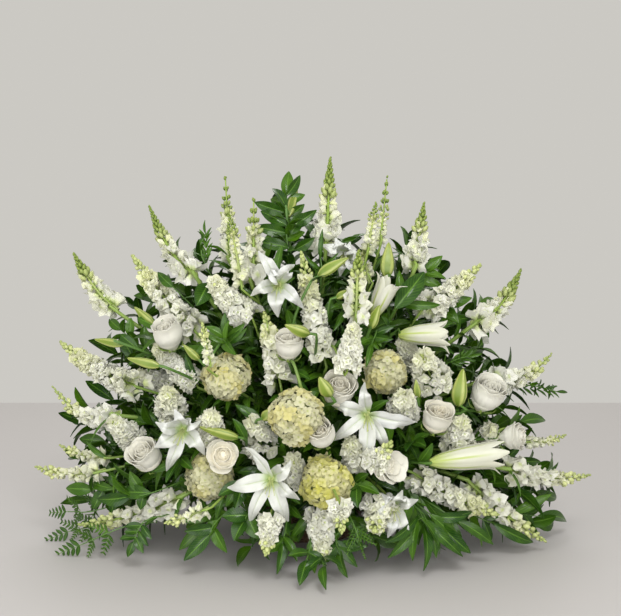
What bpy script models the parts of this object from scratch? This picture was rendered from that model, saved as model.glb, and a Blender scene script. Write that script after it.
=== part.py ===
"""Funeral floor basket: a fan-shaped sheaf of white flowers and green leaves in a low basket.

The origin is on the floor under the middle of the basket, +X is the viewer's right, +Y points
away from the viewer and +Z is up. Lengths are in metres, and the plan lists are in millimetres.

Every bloom is given by its place in the upright plane through the middle of the basket, as seen
from the viewpoint. It is carried along its line of sight to the dome that the flowers form.
"""
import math

import bmesh
import bpy
from mathutils import Vector
from mathutils.bvhtree import BVHTree

MM = 0.001
SEAT_GAP = 0.0003
MERGE = 0.00003

# Viewpoint and dome.
EYE = Vector((0.0, -3.0, 0.86))
DOME_CENTRE = Vector((0.0, 0.05, 0.10))
DOME_AXES = Vector((0.63, 0.42, 0.77))
FLOOR_CLEAR = 0.004

# Basket, liner and foam.
BASE_RADIUS = 0.112
RIM_RADIUS = 0.146
RIM_HEIGHT = 0.138
WALL = 0.009
WEAVE_RELIEF = 0.0022
BASKET_COLUMNS = 26
WEAVE_ROWS = 7
LINER_WALL = 0.0014
LINER_DROP = 0.010
FOAM_RADIUS = 0.118
FOAM_TOP = 0.215
FOAM_COLUMNS = 12
HOLE_CLEAR = 0.0005

# Stems.
HUB = Vector((0.0, 0.0, 0.135))
STUB_START = 0.070
CROTCH = 0.172
STEM_RADIUS = 0.0032
TWIG_RADIUS = 0.0022
STUB_RADIUS = 0.0046
STUB_APART = math.radians(12.5)
LOWEST_AIM = math.radians(-35.0)
LOWEST_STUB = math.radians(9.0)

# Blooms.
RING_COLUMNS = 6
ROSE_COLUMNS = 10
FLORETS = 12
WAIST = 0.48
PETAL_THICK = 0.0024
LEAF_THICK = 0.0016
LILY_PETAL = 0.082
COLLAR = 0.016
COLLAR_ROOM = 0.008

PETAL_WHITE = (0.90, 0.91, 0.88, 1.0)
ROSE_CREAM = (0.90, 0.86, 0.78, 1.0)
HYDRANGEA_CREAM = (0.80, 0.76, 0.46, 1.0)
HYDRANGEA_LIME = (0.66, 0.68, 0.22, 1.0)
LEAF_GREEN = (0.035, 0.13, 0.028, 1.0)
WILLOW_BROWN = (0.085, 0.050, 0.025, 1.0)
LINER_BLACK = (0.02, 0.02, 0.02, 1.0)
FOAM_GREEN = (0.045, 0.12, 0.05, 1.0)

# Flower spikes: node, kind, base place, tip place, half width, floret rows, base scale, tip scale.
SNAP = "snap"
STOCK = "stock"
BUDDED = "budded"
SPIKES = (
    ("snapdragon_top_centre", SNAP, (35, 665), (45, 875), 31, 4, 0.90, 1.02),
    ("snapdragon_top_left", SNAP, (-182, 640), (-195, 835), 24, 3, 0.88, 1.00),
    ("snapdragon_top_left", BUDDED, (-158, 585), (-186, 745), 20, 4, 0.97, 1.06),
    ("snapdragon_top_left", SNAP, (-132, 590), (-130, 780), 27, 5, 0.90, 1.00),
    ("snapdragon_upper_left", SNAP, (-270, 610), (-370, 765), 28, 4, 0.90, 1.00),
    ("snapdragon_far_left", SNAP, (-450, 528), (-545, 655), 31, 4, 0.92, 1.00),
    ("snapdragon_mid_left", STOCK, (-400, 345), (-580, 450), 34, 5, 0.88, 1.00),
    ("snapdragon_mid_left", SNAP, (-455, 280), (-600, 345), 24, 4, 0.90, 1.00),
    ("snapdragon_low_left", BUDDED, (-492, 145), (-645, 155), 22, 5, 0.92, 1.00),
    ("snapdragon_low_left", BUDDED, (-475, 178), (-585, 205), 19, 4, 0.86, 0.94),
    ("snapdragon_floor_left", SNAP, (-305, 85), (-545, 15), 30, 6, 0.92, 1.00),
    ("snapdragon_floor_left", BUDDED, (-245, 55), (-340, 20), 19, 3, 1.00, 1.06),
    ("snapdragon_top_right", BUDDED, (160, 680), (175, 830), 15, 5, 0.90, 1.00),
    ("snapdragon_top_right", BUDDED, (130, 655), (150, 770), 17, 4, 0.96, 1.02),
    ("snapdragon_upper_right", SNAP, (237, 620), (260, 770), 28, 4, 0.90, 1.00),
    ("snapdragon_far_right", SNAP, (380, 495), (485, 618), 33, 4, 0.90, 1.00),
    ("snapdragon_mid_right", SNAP, (425, 370), (560, 422), 28, 4, 0.90, 1.00),
    ("snapdragon_mid_right", BUDDED, (500, 215), (595, 230), 16, 3, 0.88, 0.96),
    ("snapdragon_low_right", SNAP, (460, 150), (655, 135), 27, 5, 0.92, 1.00),
    ("snapdragon_floor_right", STOCK, (240, 140), (440, 40), 33, 5, 0.94, 1.02),
    ("snapdragon_floor_right", SNAP, (375, 115), (555, -25), 30, 5, 0.88, 1.02),
    ("snapdragon_centre", SNAP, (105, 500), (110, 660), 27, 5, 0.92, 1.02),
    ("stock_upper_left", STOCK, (-262, 470), (-410, 650), 36, 6, 0.88, 1.00),
    ("stock_upper_left", BUDDED, (-232, 395), (-250, 490), 16, 3, 0.98, 1.02),
    ("stock_upper_left", STOCK, (-265, 350), (-360, 440), 28, 4, 0.86, 0.96),
    ("stock_upper_right", STOCK, (260, 520), (390, 628), 34, 5, 0.88, 1.00),
    ("stock_upper_right", STOCK, (240, 405), (212, 455), 26, 2, 0.86, 0.96),
    ("stock_centre", STOCK, (33, 405), (-20, 655), 35, 7, 0.88, 1.00),
    ("stock_centre", STOCK, (85, 385), (100, 485), 27, 3, 0.94, 1.00),
    ("stock_centre", BUDDED, (135, 590), (120, 675), 18, 3, 0.92, 0.97),
    ("stock_centre_left", STOCK, (-70, 350), (-105, 515), 35, 5, 0.90, 1.00),
    ("stock_centre_left", STOCK, (-140, 500), (-225, 590), 35, 4, 0.90, 1.00),
    ("stock_right", STOCK, (290, 345), (262, 415), 44, 3, 0.86, 1.00),
    ("stock_right", STOCK, (212, 285), (218, 320), 38, 3, 0.84, 1.00),
    ("stock_low_right", STOCK, (335, 205), (352, 265), 42, 3, 0.86, 1.00),
    ("stock_low_right", STOCK, (408, 212), (420, 245), 32, 3, 0.86, 0.98),
    ("stock_left", STOCK, (-240, 235), (-230, 275), 34, 3, 0.86, 0.97),
    ("stock_left", STOCK, (-325, 290), (-332, 330), 38, 3, 0.84, 0.98),
    ("stock_left", STOCK, (-340, 350), (-400, 375), 28, 3, 0.84, 0.95),
    ("stock_left", STOCK, (-415, 225), (-460, 262), 30, 3, 0.84, 0.97),
    ("stock_front_left", STOCK, (-112, 200), (-135, 262), 42, 3, 0.86, 1.00),
    ("stock_front_left", STOCK, (-32, 118), (-42, 175), 32, 3, 0.88, 0.98),
    ("stock_front_right", STOCK, (108, 172), (96, 212), 34, 3, 0.86, 0.98),
    ("stock_front_right", STOCK, (150, 160), (188, 212), 28, 3, 0.92, 1.00),
    ("stock_front_right", STOCK, (170, 78), (152, 5), 42, 3, 0.90, 1.02),
    ("stock_front", STOCK, (22, 45), (32, -70), 33, 4, 0.92, 1.04),
    ("stock_front", STOCK, (-92, 35), (-105, -55), 26, 4, 0.94, 1.04),
    ("stock_front", STOCK, (66, 62), (74, -2), 24, 3, 0.98, 1.06),
)

# Round heads: node, place, width, scale, yaw to the right, pitch up, bunch.
ROSES = (
    ("rose_upper_left", (-330, 465), 74, 0.97, -12, 35, "left_high"),
    ("rose_low_left", (-385, 180), 80, 0.99, -10, 20, "left_low"),
    ("rose_centre", (65, 335), 80, 0.99, 10, 30, "front_right"),
    ("rose_lower_centre", (25, 230), 66, 0.99, -5, 0, "front_right"),
    ("rose_right", (295, 270), 76, 0.99, 25, 20, "right_low"),
    ("rose_front_left", (-205, 180), 72, 1.01, -10, 5, "front_left"),
    ("rose_front_right", (190, 155), 72, 1.00, 15, 15, "front_right"),
    ("rose_upper_centre", (-50, 440), 68, 1.00, -5, 75, "top"),
    ("rose_far_right", (410, 325), 84, 0.98, 40, 55, "right_high"),
    ("rose_low_far_right", (475, 225), 68, 1.00, 80, 5, "right_low"),
)
HYDRANGEAS = (
    ("hydrangea_upper_left", (-195, 365), 112, 0.90, -15, 25, "left_high"),
    ("hydrangea_centre", (-30, 275), 126, 0.92, 0, 15, "front_left"),
    ("hydrangea_front", (38, 118), 120, 0.94, 0, 0, "front_right"),
    ("hydrangea_upper_right", (175, 380), 104, 0.92, 15, 30, "right_high"),
    ("hydrangea_low_left", (-235, 130), 118, 0.92, -20, 5, "front_left"),
)

# Open lilies: node, throat place, scale, bunch, petal tips as seen from the throat.
STARS = (
    ("lily_upper", (-75, 583), 1.02, "top",
     ((-42, 77), (35, 51), (-58, -16), (0, -62), (54, -44), (-12, 40))),
    ("lily_centre", (133, 278), 1.04, "right_high",
     ((-5, 75), (-75, 26), (-72, -54), (-7, -98), (42, -80), (103, -12))),
    ("lily_front", (-92, 122), 1.05, "front_left",
     ((-54, 68), (-92, -16), (-44, -96), (34, -88), (58, -35), (40, 48))),
    ("lily_left", (-300, 240), 1.04, "left_low",
     ((-55, 25), (-15, 52), (-38, -85), (46, -45), (40, 30), (-58, -30))),
    ("lily_back", (78, 650), 0.92, "top",
     ((-50, 28), (-20, 42), (12, 36), (28, -30), (-10, -38), (34, 8))),
    ("lily_low_front", (195, 60), 1.06, "front_right",
     ((52, 22), (30, -60), (-12, -62), (-40, -14), (-26, 36), (18, 42))),
)
# Half-open lilies: node, base place, mouth place, mouth width, base scale, mouth scale, bunch.
TRUMPETS = (
    ("lily_bud_open_right", (205, 466), (318, 468), 56, 0.92, 1.02, "right_high"),
    ("lily_bud_open_low", (280, 165), (448, 186), 62, 0.96, 1.04, "right_low"),
    ("lily_closed_upper", (145, 508), (182, 590), 52, 0.94, 1.02, "right_high"),
)
# Lily buds: base place, tip place, width, scale, bunch.
BUDS = (
    ((-50, 740), (-30, 812), 20, 0.94, "top"),
    ((18, 603), (88, 646), 24, 1.03, "top"),
    ((175, 598), (180, 682), 28, 1.06, "right_high"),
    ((-360, 488), (-408, 532), 22, 1.00, "left_high"),
    ((-435, 443), (-502, 456), 18, 1.00, "left_high"),
    ((-350, 393), (-427, 412), 20, 1.03, "left_high"),
    ((-258, 408), (-296, 444), 17, 1.03, "left_high"),
    ((-2, 468), (-60, 490), 24, 1.05, "top"),
    ((138, 480), (160, 536), 24, 1.04, "right_high"),
    ((345, 298), (355, 388), 32, 1.02, "right_high"),
    ((-168, 224), (-262, 250), 22, 1.04, "left_low"),
    ((-112, 268), (-80, 292), 22, 1.02, "front_left"),
    ((60, 552), (96, 571), 16, 1.02, "top"),
    ((48, 322), (20, 368), 28, 1.06, "front_right"),
    ((250, 318), (245, 362), 15, 1.02, "right_high"),
)
# Leafy sprays: bunch, base place, tip place, leaf length, leaf width, pairs, base scale, tip scale.
SPRAYS = (
    ("top", (-52, 660), (-56, 842), 62, 25, 4, 0.84, 0.98),
    ("left_high", (-238, 620), (-242, 735), 34, 15, 3, 0.86, 0.96),
    ("left_high", (-285, 600), (-345, 655), 34, 15, 2, 0.72, 0.84),
    ("left_high", (-320, 515), (-400, 575), 62, 26, 1, 0.74, 0.90),
    ("left_high", (-360, 420), (-470, 500), 48, 20, 2, 0.80, 0.92),
    ("left_low", (-430, 205), (-545, 225), 74, 26, 1, 0.72, 0.84),
    ("left_low", (-420, 110), (-585, 92), 80, 26, 2, 0.86, 1.00),
    ("left_low", (-350, 100), (-505, 66), 80, 28, 1, 0.94, 1.02),
    ("left_low", (-470, 60), (-605, 42), 46, 17, 2, 0.86, 0.98),
    ("left_low", (-490, 25), (-612, -15), 46, 17, 2, 0.82, 0.96),
    ("left_low", (-440, 10), (-580, -50), 46, 17, 2, 0.94, 1.02),
    ("left_low", (-390, 25), (-438, -65), 38, 15, 3, 0.98, 1.05),
    ("front_left", (-215, 30), (-285, -90), 78, 26, 1, 0.96, 1.06),
    ("front_left", (-140, 50), (-185, -30), 54, 30, 1, 0.96, 1.04),
    ("front_left", (-60, 0), (-80, -105), 66, 22, 1, 0.94, 1.04),
    ("front_right", (0, -30), (-25, -135), 66, 22, 1, 0.96, 1.04),
    ("front_right", (25, -40), (40, -145), 70, 23, 1, 0.96, 1.04),
    ("front_right", (60, -20), (92, -112), 60, 22, 1, 0.94, 1.02),
    ("front_right", (100, 20), (125, -58), 32, 12, 3, 0.98, 1.04),
    ("right_low", (255, 50), (240, -70), 92, 26, 1, 0.98, 1.05),
    ("right_low", (262, 45), (276, -103), 110, 28, 1, 0.96, 1.05),
    ("right_low", (275, 45), (378, -58), 112, 30, 1, 0.96, 1.04),
    ("right_low", (300, 55), (445, -38), 108, 28, 1, 0.90, 0.99),
    ("right_low", (380, 40), (528, -22), 108, 30, 1, 0.84, 0.96),
    ("right_low", (400, 60), (618, 20), 120, 32, 2, 0.82, 0.96),
    ("right_low", (430, 110), (580, 85), 96, 28, 1, 0.82, 0.92),
    ("right_low", (430, 180), (545, 160), 80, 24, 1, 0.80, 0.90),
    ("right_high", (460, 345), (600, 330), 38, 15, 3, 0.86, 0.98),
    ("right_high", (320, 400), (402, 425), 34, 14, 3, 0.82, 0.92),
    ("right_high", (200, 530), (268, 605), 78, 24, 1, 0.90, 0.98),
    ("right_high", (240, 590), (305, 655), 54, 20, 2, 0.84, 0.94),
    ("right_high", (280, 520), (375, 560), 62, 22, 2, 0.82, 0.94),
    ("right_high", (150, 470), (125, 392), 60, 16, 2, 0.94, 1.02),
    ("top", (24, 590), (22, 712), 64, 13, 1, 0.90, 1.00),
    ("top", (90, 560), (60, 480), 56, 16, 1, 0.90, 0.98),
    ("top", (-110, 560), (-100, 700), 58, 22, 2, 0.80, 0.90),
    ("left_high", (-190, 440), (-205, 520), 54, 17, 2, 0.92, 1.00),
    ("left_low", (-300, 180), (-330, 130), 60, 22, 1, 0.90, 1.00),
    ("front_left", (-160, 120), (-170, 60), 56, 24, 1, 0.92, 1.00),
    ("front_right", (108, 115), (115, 75), 50, 24, 1, 0.96, 1.04),
    ("right_low", (240, 215), (262, 205), 52, 22, 1, 0.90, 1.00),
)
# Sprays at the back: azimuth in degrees, height, reach from the axis, leaf length, width, pairs.
BACK_SPRAYS = (
    (22, 160, 500, 96, 36, 1),
    (55, 90, 400, 104, 38, 1),
    (90, 240, 350, 96, 38, 2),
    (125, 100, 400, 104, 38, 1),
    (158, 150, 490, 96, 36, 1),
    (62, 480, 270, 84, 34, 2),
    (90, 640, 180, 78, 30, 2),
    (120, 520, 260, 84, 34, 2),
)
BUNCHES = ("left_low", "left_high", "top", "right_high", "right_low", "front_left", "front_right")


def material(name, colour, roughness):
    """A plain surface with its own colour and roughness."""
    made = bpy.data.materials.new(name)
    made.use_nodes = True
    shader = made.node_tree.nodes["Principled BSDF"]
    shader.inputs["Base Color"].default_value = colour
    shader.inputs["Roughness"].default_value = roughness
    shader.inputs["Metallic"].default_value = 0.0
    return made


def mesh_object(name, solid):
    """An object from a solid, which is a pair of vertex and triangle lists."""
    mesh = bpy.data.meshes.new(name)
    mesh.from_pydata([tuple(v) for v in solid[0]], [], solid[1])
    mesh.update()
    made = bpy.data.objects.new(name, mesh)
    bpy.context.scene.collection.objects.link(made)
    return made


def tree(solid):
    """The search tree of a solid, for finding what it would cross."""
    return BVHTree.FromPolygons(solid[0], solid[1])


def crosses(solid, trees):
    """Whether a solid cuts the surface of any in the list."""
    own = tree(solid)
    return any(own.overlap(other) for other in trees)


# Placing.

def on_dome(place, scale, lift=0.0, shift=0.0):
    """The point on the scaled dome that the viewer sees at a place, kept clear of the floor."""
    aim = Vector((place[0] * MM, 0.0, place[1] * MM)) - EYE
    flat_eye = Vector([(EYE - DOME_CENTRE)[i] / DOME_AXES[i] for i in range(3)])
    flat_aim = Vector([aim[i] / DOME_AXES[i] for i in range(3)])
    square = flat_aim.dot(flat_aim)
    middle = flat_eye.dot(flat_aim)
    rest = flat_eye.dot(flat_eye) - scale * scale
    travel = (-middle - math.sqrt(max(middle * middle - square * rest, 0.0))) / square
    travel += shift / aim.length
    floor = (EYE.z - FLOOR_CLEAR - lift) / -aim.z
    if 0.0 < floor < travel:
        travel = floor
    return EYE + aim * travel


def outward(point):
    """The direction square to the dome at a point."""
    away = point - DOME_CENTRE
    return Vector([away[i] / DOME_AXES[i] ** 2 for i in range(3)]).normalized()


def facing(point, yaw, pitch):
    """A direction turned from the viewer's by a yaw to the right and a pitch up."""
    turn = math.radians(yaw)
    rise = math.radians(pitch)
    look = Vector((math.sin(turn) * math.cos(rise), -math.cos(turn) * math.cos(rise), math.sin(rise)))
    return (look + 0.35 * outward(point)).normalized()


def chain(points, radii):
    """Balls along a line of points, which stand for a bloom while it finds its room."""
    return [(point, radius) for point, radius in zip(points, radii)]


def gap(one, other):
    """The least distance between two chains of balls."""
    return min((a[0] - b[0]).length - a[1] - b[1] for a in one for b in other)


def settle(make, taken):
    """The bloom that make(shift) gives, moved along the line of sight until it has room."""
    best = None
    for step in range(0, 19):
        for side in (1.0, -1.0):
            shift = side * step * 0.010
            made = make(shift)
            room = min([gap(made[1], other) for other in taken], default=1.0)
            if best is None or room > best[0]:
                best = (room, made)
            if room > 0.0:
                taken.append(made[1])
                return made
    taken.append(best[1][1])
    return best[1]


# Solids.

def frames(path):
    """The tangent, side and up directions at each point of a path."""
    last = len(path) - 1
    made = []
    side = None
    for i, _point in enumerate(path):
        along = (path[min(i + 1, last)] - path[max(i - 1, 0)]).normalized()
        side = along.orthogonal() if side is None else side
        side = (side - along * side.dot(along)).normalized()
        made.append((along, side, along.cross(side)))
    return made


def ring(centre, frame, radii, slide=0.0):
    """The points of one ring round a path, each at its own radius."""
    count = len(radii)
    points = []
    for i, radius in enumerate(radii):
        angle = 2.0 * math.pi * i / count
        spoke = frame[1] * math.cos(angle) + frame[2] * math.sin(angle)
        points.append(centre + spoke * radius + frame[0] * (slide if radius == max(radii) else 0.0))
    return points


def skin(rings, start=None, end=None):
    """A closed solid over rings of equal count, with an apex or a flat cap at each end."""
    count = len(rings[0])
    points = [point for one in rings for point in one]
    faces = []
    for row in range(len(rings) - 1):
        for i in range(count):
            a = row * count + i
            b = row * count + (i + 1) % count
            faces.append((a, b, b + count))
            faces.append((a, b + count, a + count))
    top = (len(rings) - 1) * count
    faces += cap(points, 0, count, start, True)
    faces += cap(points, top, count, end, False)
    return points, faces


def cap(points, first, count, apex, flip):
    """Triangles that close one end of a skin."""
    order = list(range(first, first + count))
    if flip:
        order.reverse()
    if apex is None:
        return [(order[0], order[i], order[i + 1]) for i in range(1, count - 1)]
    points.append(apex)
    centre = len(points) - 1
    return [(order[i], order[(i + 1) % count], centre) for i in range(count)]


def outward_facing(solid):
    """The solid with its triangles turned so that the enclosed volume is positive."""
    points, faces = solid
    volume = sum(points[a].dot(points[b].cross(points[c])) for a, b, c in faces)
    if volume < 0.0:
        faces = [(a, c, b) for a, b, c in faces]
    return points, faces


def tube(path, radii, sides, pointed=False):
    """A stem of few sides along a path, flat at the ends or pointed at the start."""
    marks = frames(path)
    rings = [ring(p, f, [r] * sides) for p, f, r in zip(path, marks, radii)]
    if pointed:
        rings.pop(0)
    return outward_facing(skin(rings, path[0] if pointed else None))


def spindle(base, tip, widths, sides):
    """A closed bud between two points, pointed at the tip and flat at the base."""
    count = len(widths)
    path = [base.lerp(tip, i / count) for i in range(count)]
    marks = frames(path + [tip])
    rings = [ring(p, f, [w] * sides) for p, f, w in zip(path, marks, widths)]
    return outward_facing(skin(rings, None, tip))


def blade(path, widths, thick, normal, cup=0.0):
    """A leaf or petal: pointed ends, two edges and a keel under the middle of each station."""
    rows = []
    last = len(path) - 1
    for i in range(1, last):
        along = (path[i + 1] - path[i - 1]).normalized()
        across = along.cross(normal).normalized()
        face = across.cross(along)
        half = widths[i - 1] / 2.0
        rise = face * (half * cup)
        rows.append((path[i] - across * half + rise, path[i] + across * half + rise,
                     path[i] - face * thick))
    points = [point for row in rows for point in row]
    faces = []
    for row in range(len(rows) - 1):
        for i in range(3):
            a = row * 3 + i
            b = row * 3 + (i + 1) % 3
            faces.append((a, b, b + 3))
            faces.append((a, b + 3, a + 3))
    points += [path[0], path[last]]
    root = len(points) - 2
    far = (len(rows) - 1) * 3
    for i in range(3):
        faces.append((root, (i + 1) % 3, i))
        faces.append((far + i, far + (i + 1) % 3, root + 1))
    return outward_facing((points, faces))


# Flower spikes.

def spike_profile(kind, half, rows):
    """The rings of a spike from the tip down: share of the length, radii and slide."""
    flower = {SNAP: 0.68, STOCK: 0.88, BUDDED: 0.80}[kind]
    taper = {SNAP: 0.42, STOCK: 0.45, BUDDED: 0.60}[kind]
    notch = {SNAP: 0.55, STOCK: 0.62, BUDDED: 0.50}[kind]
    made = []
    if kind == SNAP:
        made.append((0.93, [half * 0.16] * RING_COLUMNS, 0.0))
        made.append((0.80, [half * 0.34, half * 0.22] * (RING_COLUMNS // 2), 0.0))
    rows += 0 if kind == SNAP else (rows + 1) // 2
    step = flower / rows
    for row in range(rows - 1, -1, -1):
        wide = half * (1.0 - taper * (row + 0.5) / rows)
        lobes = [wide, wide * notch]
        if row % 2:
            lobes.reverse()
        if kind == SNAP:
            made.append(((row + 0.85) * step, [wide * WAIST] * RING_COLUMNS, 0.0))
        made.append(((row + 0.40) * step, lobes * (RING_COLUMNS // 2), step * 0.12))
    if kind != SNAP:
        made.append((0.0, [half * WAIST] * RING_COLUMNS, 0.0))
    return made


def spike_axis(base, tip):
    """The sideways bend of a spike, which lifts its tip a little."""
    span = tip - base
    level = Vector((span.x, span.y, 0.0)).length
    return Vector((0.0, 0.0, -0.05 * level))


def spike_point(base, tip, share):
    """A point of the bent axis of a spike."""
    return base.lerp(tip, share) + spike_axis(base, tip) * (4.0 * share * (1.0 - share))


def spike_head(entry, shift):
    """The ends of a spike and the balls that stand for it, moved by a shift."""
    _node, _kind, low, high, half, _rows, low_scale, high_scale = entry
    half *= MM
    base = on_dome(low, low_scale, half * 0.9, shift)
    tip = on_dome(high, high_scale, half * 0.3, shift)
    length = (tip - base).length
    count = max(3, int(length / (half * 0.8)) + 1)
    shares = [i / (count - 1) * 0.92 for i in range(count)]
    points = [spike_point(base, tip, share) for share in shares]
    points.append(base - (tip - base).normalized() * COLLAR)
    radii = [half * (1.0 - 0.6 * share) for share in shares] + [COLLAR_ROOM]
    return (base, tip), chain(points, radii)


def spike_solid(entry, ends, stem, pointed=False):
    """A spike with its florets raised row by row, on its stem where one is given."""
    _node, kind, _low, _high, half, rows, _low_scale, _high_scale = entry
    base, tip = ends
    profile = spike_profile(kind, half * MM, rows)
    path = [tip] + [spike_point(base, tip, share) for share, _radii, _slide in profile] + stem
    marks = frames(path)
    length = (tip - base).length
    rings = []
    for i, (_share, radii, slide) in enumerate(profile):
        rings.append(ring(path[i + 1], marks[i + 1], radii, slide * length))
    for i in range(len(profile) + 1, len(path)):
        rings.append(ring(path[i], marks[i], [STEM_RADIUS] * RING_COLUMNS))
    if pointed:
        rings.pop()
    return outward_facing(skin(rings, tip, path[-1] if pointed else None))


# Round heads.

def rose_head(entry, shift):
    """The seat and axis of a rose and the balls that stand for it."""
    _node, place, width, scale, yaw, pitch, _bunch = entry
    half = width * MM / 2.0
    middle = on_dome(place, scale, half, shift)
    axis = facing(middle, yaw, pitch)
    seat = middle - axis * half
    return (seat, axis), chain([middle - axis * half * 0.2, middle + axis * half * 0.15,
                                seat - axis * COLLAR], [half * 0.95, half * 0.92, COLLAR_ROOM])


def rose_solid(entry, seat, axis):
    """A rose: an outer cup of lobed petals, a second layer inside it and a closed heart."""
    half = entry[2] * MM / 2.0
    tall = half * 2.05
    profile = ((0.22, 0.0, 0.0), (0.84, 0.20, 0.0), (1.0, 0.52, 0.04), (0.94, 0.88, 0.12),
               (0.64, 0.72, -0.05), (0.52, 1.0, 0.10))
    path = [seat + axis * (tall * height) for _r, height, _l in profile]
    marks = frames([seat, seat + axis])
    rings = []
    for i, (share, _height, lobe) in enumerate(profile):
        sign = -1.0 if i == 5 else 1.0
        radii = [half * share * (1.0 + sign * lobe * (1 if j % 2 else -1)) for j in range(ROSE_COLUMNS)]
        rings.append(ring(path[i], marks[0], radii))
    return outward_facing(skin(rings, None, seat + axis * (tall * 0.86)))


def hydrangea_head(entry, shift):
    """The seat and axis of a hydrangea and the ball that stands for it."""
    _node, place, width, scale, yaw, pitch, _bunch = entry
    half = width * MM / 2.0
    middle = on_dome(place, scale, half, shift)
    axis = facing(middle, yaw, pitch)
    return (middle - axis * half, axis), chain([middle, middle - axis * (half + COLLAR)],
                                               [half, COLLAR_ROOM])


def floret_directions():
    """Even directions over a ball, from near the top to short of the bottom."""
    made = []
    golden = math.pi * (3.0 - math.sqrt(5.0))
    for i in range(FLORETS):
        height = 0.97 - 1.62 * i / (FLORETS - 1)
        flat = math.sqrt(1.0 - height * height)
        made.append(Vector((flat * math.cos(golden * i), flat * math.sin(golden * i), height)))
    return made


def floret_points(direction, turn):
    """The hollow centre, four raised petals and four low notches of one floret."""
    side = direction.orthogonal().normalized()
    up = direction.cross(side)
    spread = 0.36
    made = [(direction, 0.90)]
    for i in range(8):
        angle = turn + math.pi * i / 4.0
        reach = spread if i % 2 == 0 else spread * 0.70
        spoke = side * math.cos(angle) + up * math.sin(angle)
        made.append(((direction + spoke * reach).normalized(), 1.0 if i % 2 == 0 else 0.84))
    return made


def hydrangea_solid(entry, seat, axis):
    """A hydrangea head: four-petalled florets raised all over a ball by their radius."""
    half = entry[2] * MM / 2.0
    marks = [(Vector((0.0, 0.0, -1.0)), 1.0)]
    for i, direction in enumerate(floret_directions()):
        marks += floret_points(direction, 0.9 * i)
    net = bmesh.new()
    for direction, _radius in marks:
        net.verts.new(direction)
    bmesh.ops.convex_hull(net, input=net.verts)
    net.verts.ensure_lookup_table()
    faces = [tuple(v.index for v in face.verts) for face in net.faces]
    net.free()
    side = axis.orthogonal().normalized()
    up = axis.cross(side)
    middle = seat + axis * half
    points = []
    for direction, radius in marks:
        flat = side * direction.x + up * direction.y + axis * direction.z
        points.append(middle + flat * (radius * half))
    return outward_facing((points, faces))


# Lilies.

def star_petals(entry, throat):
    """The paths of the six petals of an open lily, from behind the throat to the tips."""
    paths = []
    for dx, dz in entry[4]:
        flat = Vector((dx * MM, 0.0, dz * MM))
        lean = math.sqrt(max(LILY_PETAL ** 2 - flat.length_squared, 0.0))
        tip = throat + flat + Vector((0.0, -0.55 * lean + 0.012, 0.0))
        spoke = flat.normalized()
        back = throat + spoke * 0.004 + Vector((0.0, 0.014, -0.002))
        cup_point = throat + spoke * 0.016 + Vector((0.0, 0.004, 0.0))
        bulge = throat.lerp(tip, 0.55) + Vector((0.0, -0.014 - 0.10 * lean, 0.0))
        paths.append([back, cup_point, bulge, throat.lerp(tip, 0.82) + Vector((0.0, -0.010, 0.0)), tip])
    return paths


def star_head(entry, shift):
    """The throat of an open lily and the balls that stand for it."""
    throat = on_dome(entry[1], entry[2], 0.05, shift)
    balls = [(throat + Vector((0.0, 0.02, 0.0)), 0.018),
             (throat + Vector((0.0, 0.056, -0.007)), COLLAR_ROOM)]
    for path in star_petals(entry, throat):
        balls.append((path[2], 0.013))
        balls.append((path[3], 0.011))
        balls.append((path[4], 0.005))
        balls.append((path[1].lerp(path[2], 0.5), 0.012))
    return (throat, Vector((0.0, -1.0, 0.0))), balls


def star_solids(entry, throat):
    """The petals of an open lily and the tube that joins them behind the throat."""
    made = []
    for i, path in enumerate(star_petals(entry, throat)):
        widths = (0.018, 0.031, 0.020) if i % 2 else (0.015, 0.024, 0.016)
        made.append(blade(path, widths, PETAL_THICK, Vector((0.0, -1.0, 0.05)), 0.12))
    seat = throat + Vector((0.0, 0.040, -0.005))
    neck = [seat, throat + Vector((0.0, 0.016, -0.002)), throat + Vector((0.0, 0.002, 0.0))]
    made.insert(0, tube(neck, (0.006, 0.0095, 0.013), 6))
    return made


def trumpet_head(entry, shift):
    """The ends of a half-open lily and the balls that stand for it."""
    _node, low, high, width, low_scale, high_scale, _bunch = entry
    half = width * MM / 2.0
    base = on_dome(low, low_scale, half, shift)
    mouth = on_dome(high, high_scale, half, shift)
    points = [base.lerp(mouth, i / 5.0) for i in range(6)]
    points.append(base - (mouth - base).normalized() * COLLAR)
    radii = [0.010, half * 0.5, half * 0.62, half * 0.72, half * 0.88, half, COLLAR_ROOM]
    return (base, mouth), chain(points, radii)


def trumpet_solid(entry, base, mouth):
    """A half-open lily: a ribbed trumpet whose six petals part and turn out at the mouth."""
    half = entry[3] * MM / 2.0
    profile = ((0.0, 0.22, 0.0), (0.22, 0.46, 0.06), (0.55, 0.60, 0.08), (0.84, 0.80, 0.14),
               (1.0, 0.95, 0.30), (0.93, 0.55, 0.10))
    path = [base.lerp(mouth, share) for share, _r, _l in profile]
    mark = frames([base, mouth])[0]
    rings = []
    for (_share, radius, lobe), point in zip(profile, path):
        radii = [half * radius * (1.0 + lobe * (1 if j % 2 else -1)) for j in range(12)]
        reach = 0.012 if lobe > 0.2 else 0.0
        rings.append(ring(point, mark, radii, reach))
    return outward_facing(skin(rings, None, base.lerp(mouth, 0.45)))


# Stems.

def stub_direction(target):
    """The way in which a stem leaves the foam: towards its bloom, and never under the rim."""
    away = target - HUB
    level = math.hypot(away.x, away.y)
    rise = max(math.atan2(away.z, level), LOWEST_AIM)
    share = (rise - LOWEST_AIM) / (math.pi / 2.0 - LOWEST_AIM)
    rise = LOWEST_STUB + share * (math.pi / 2.0 - LOWEST_STUB)
    turn = math.atan2(away.y, away.x)
    return Vector((math.cos(turn) * math.cos(rise), math.sin(turn) * math.cos(rise), math.sin(rise)))


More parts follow.
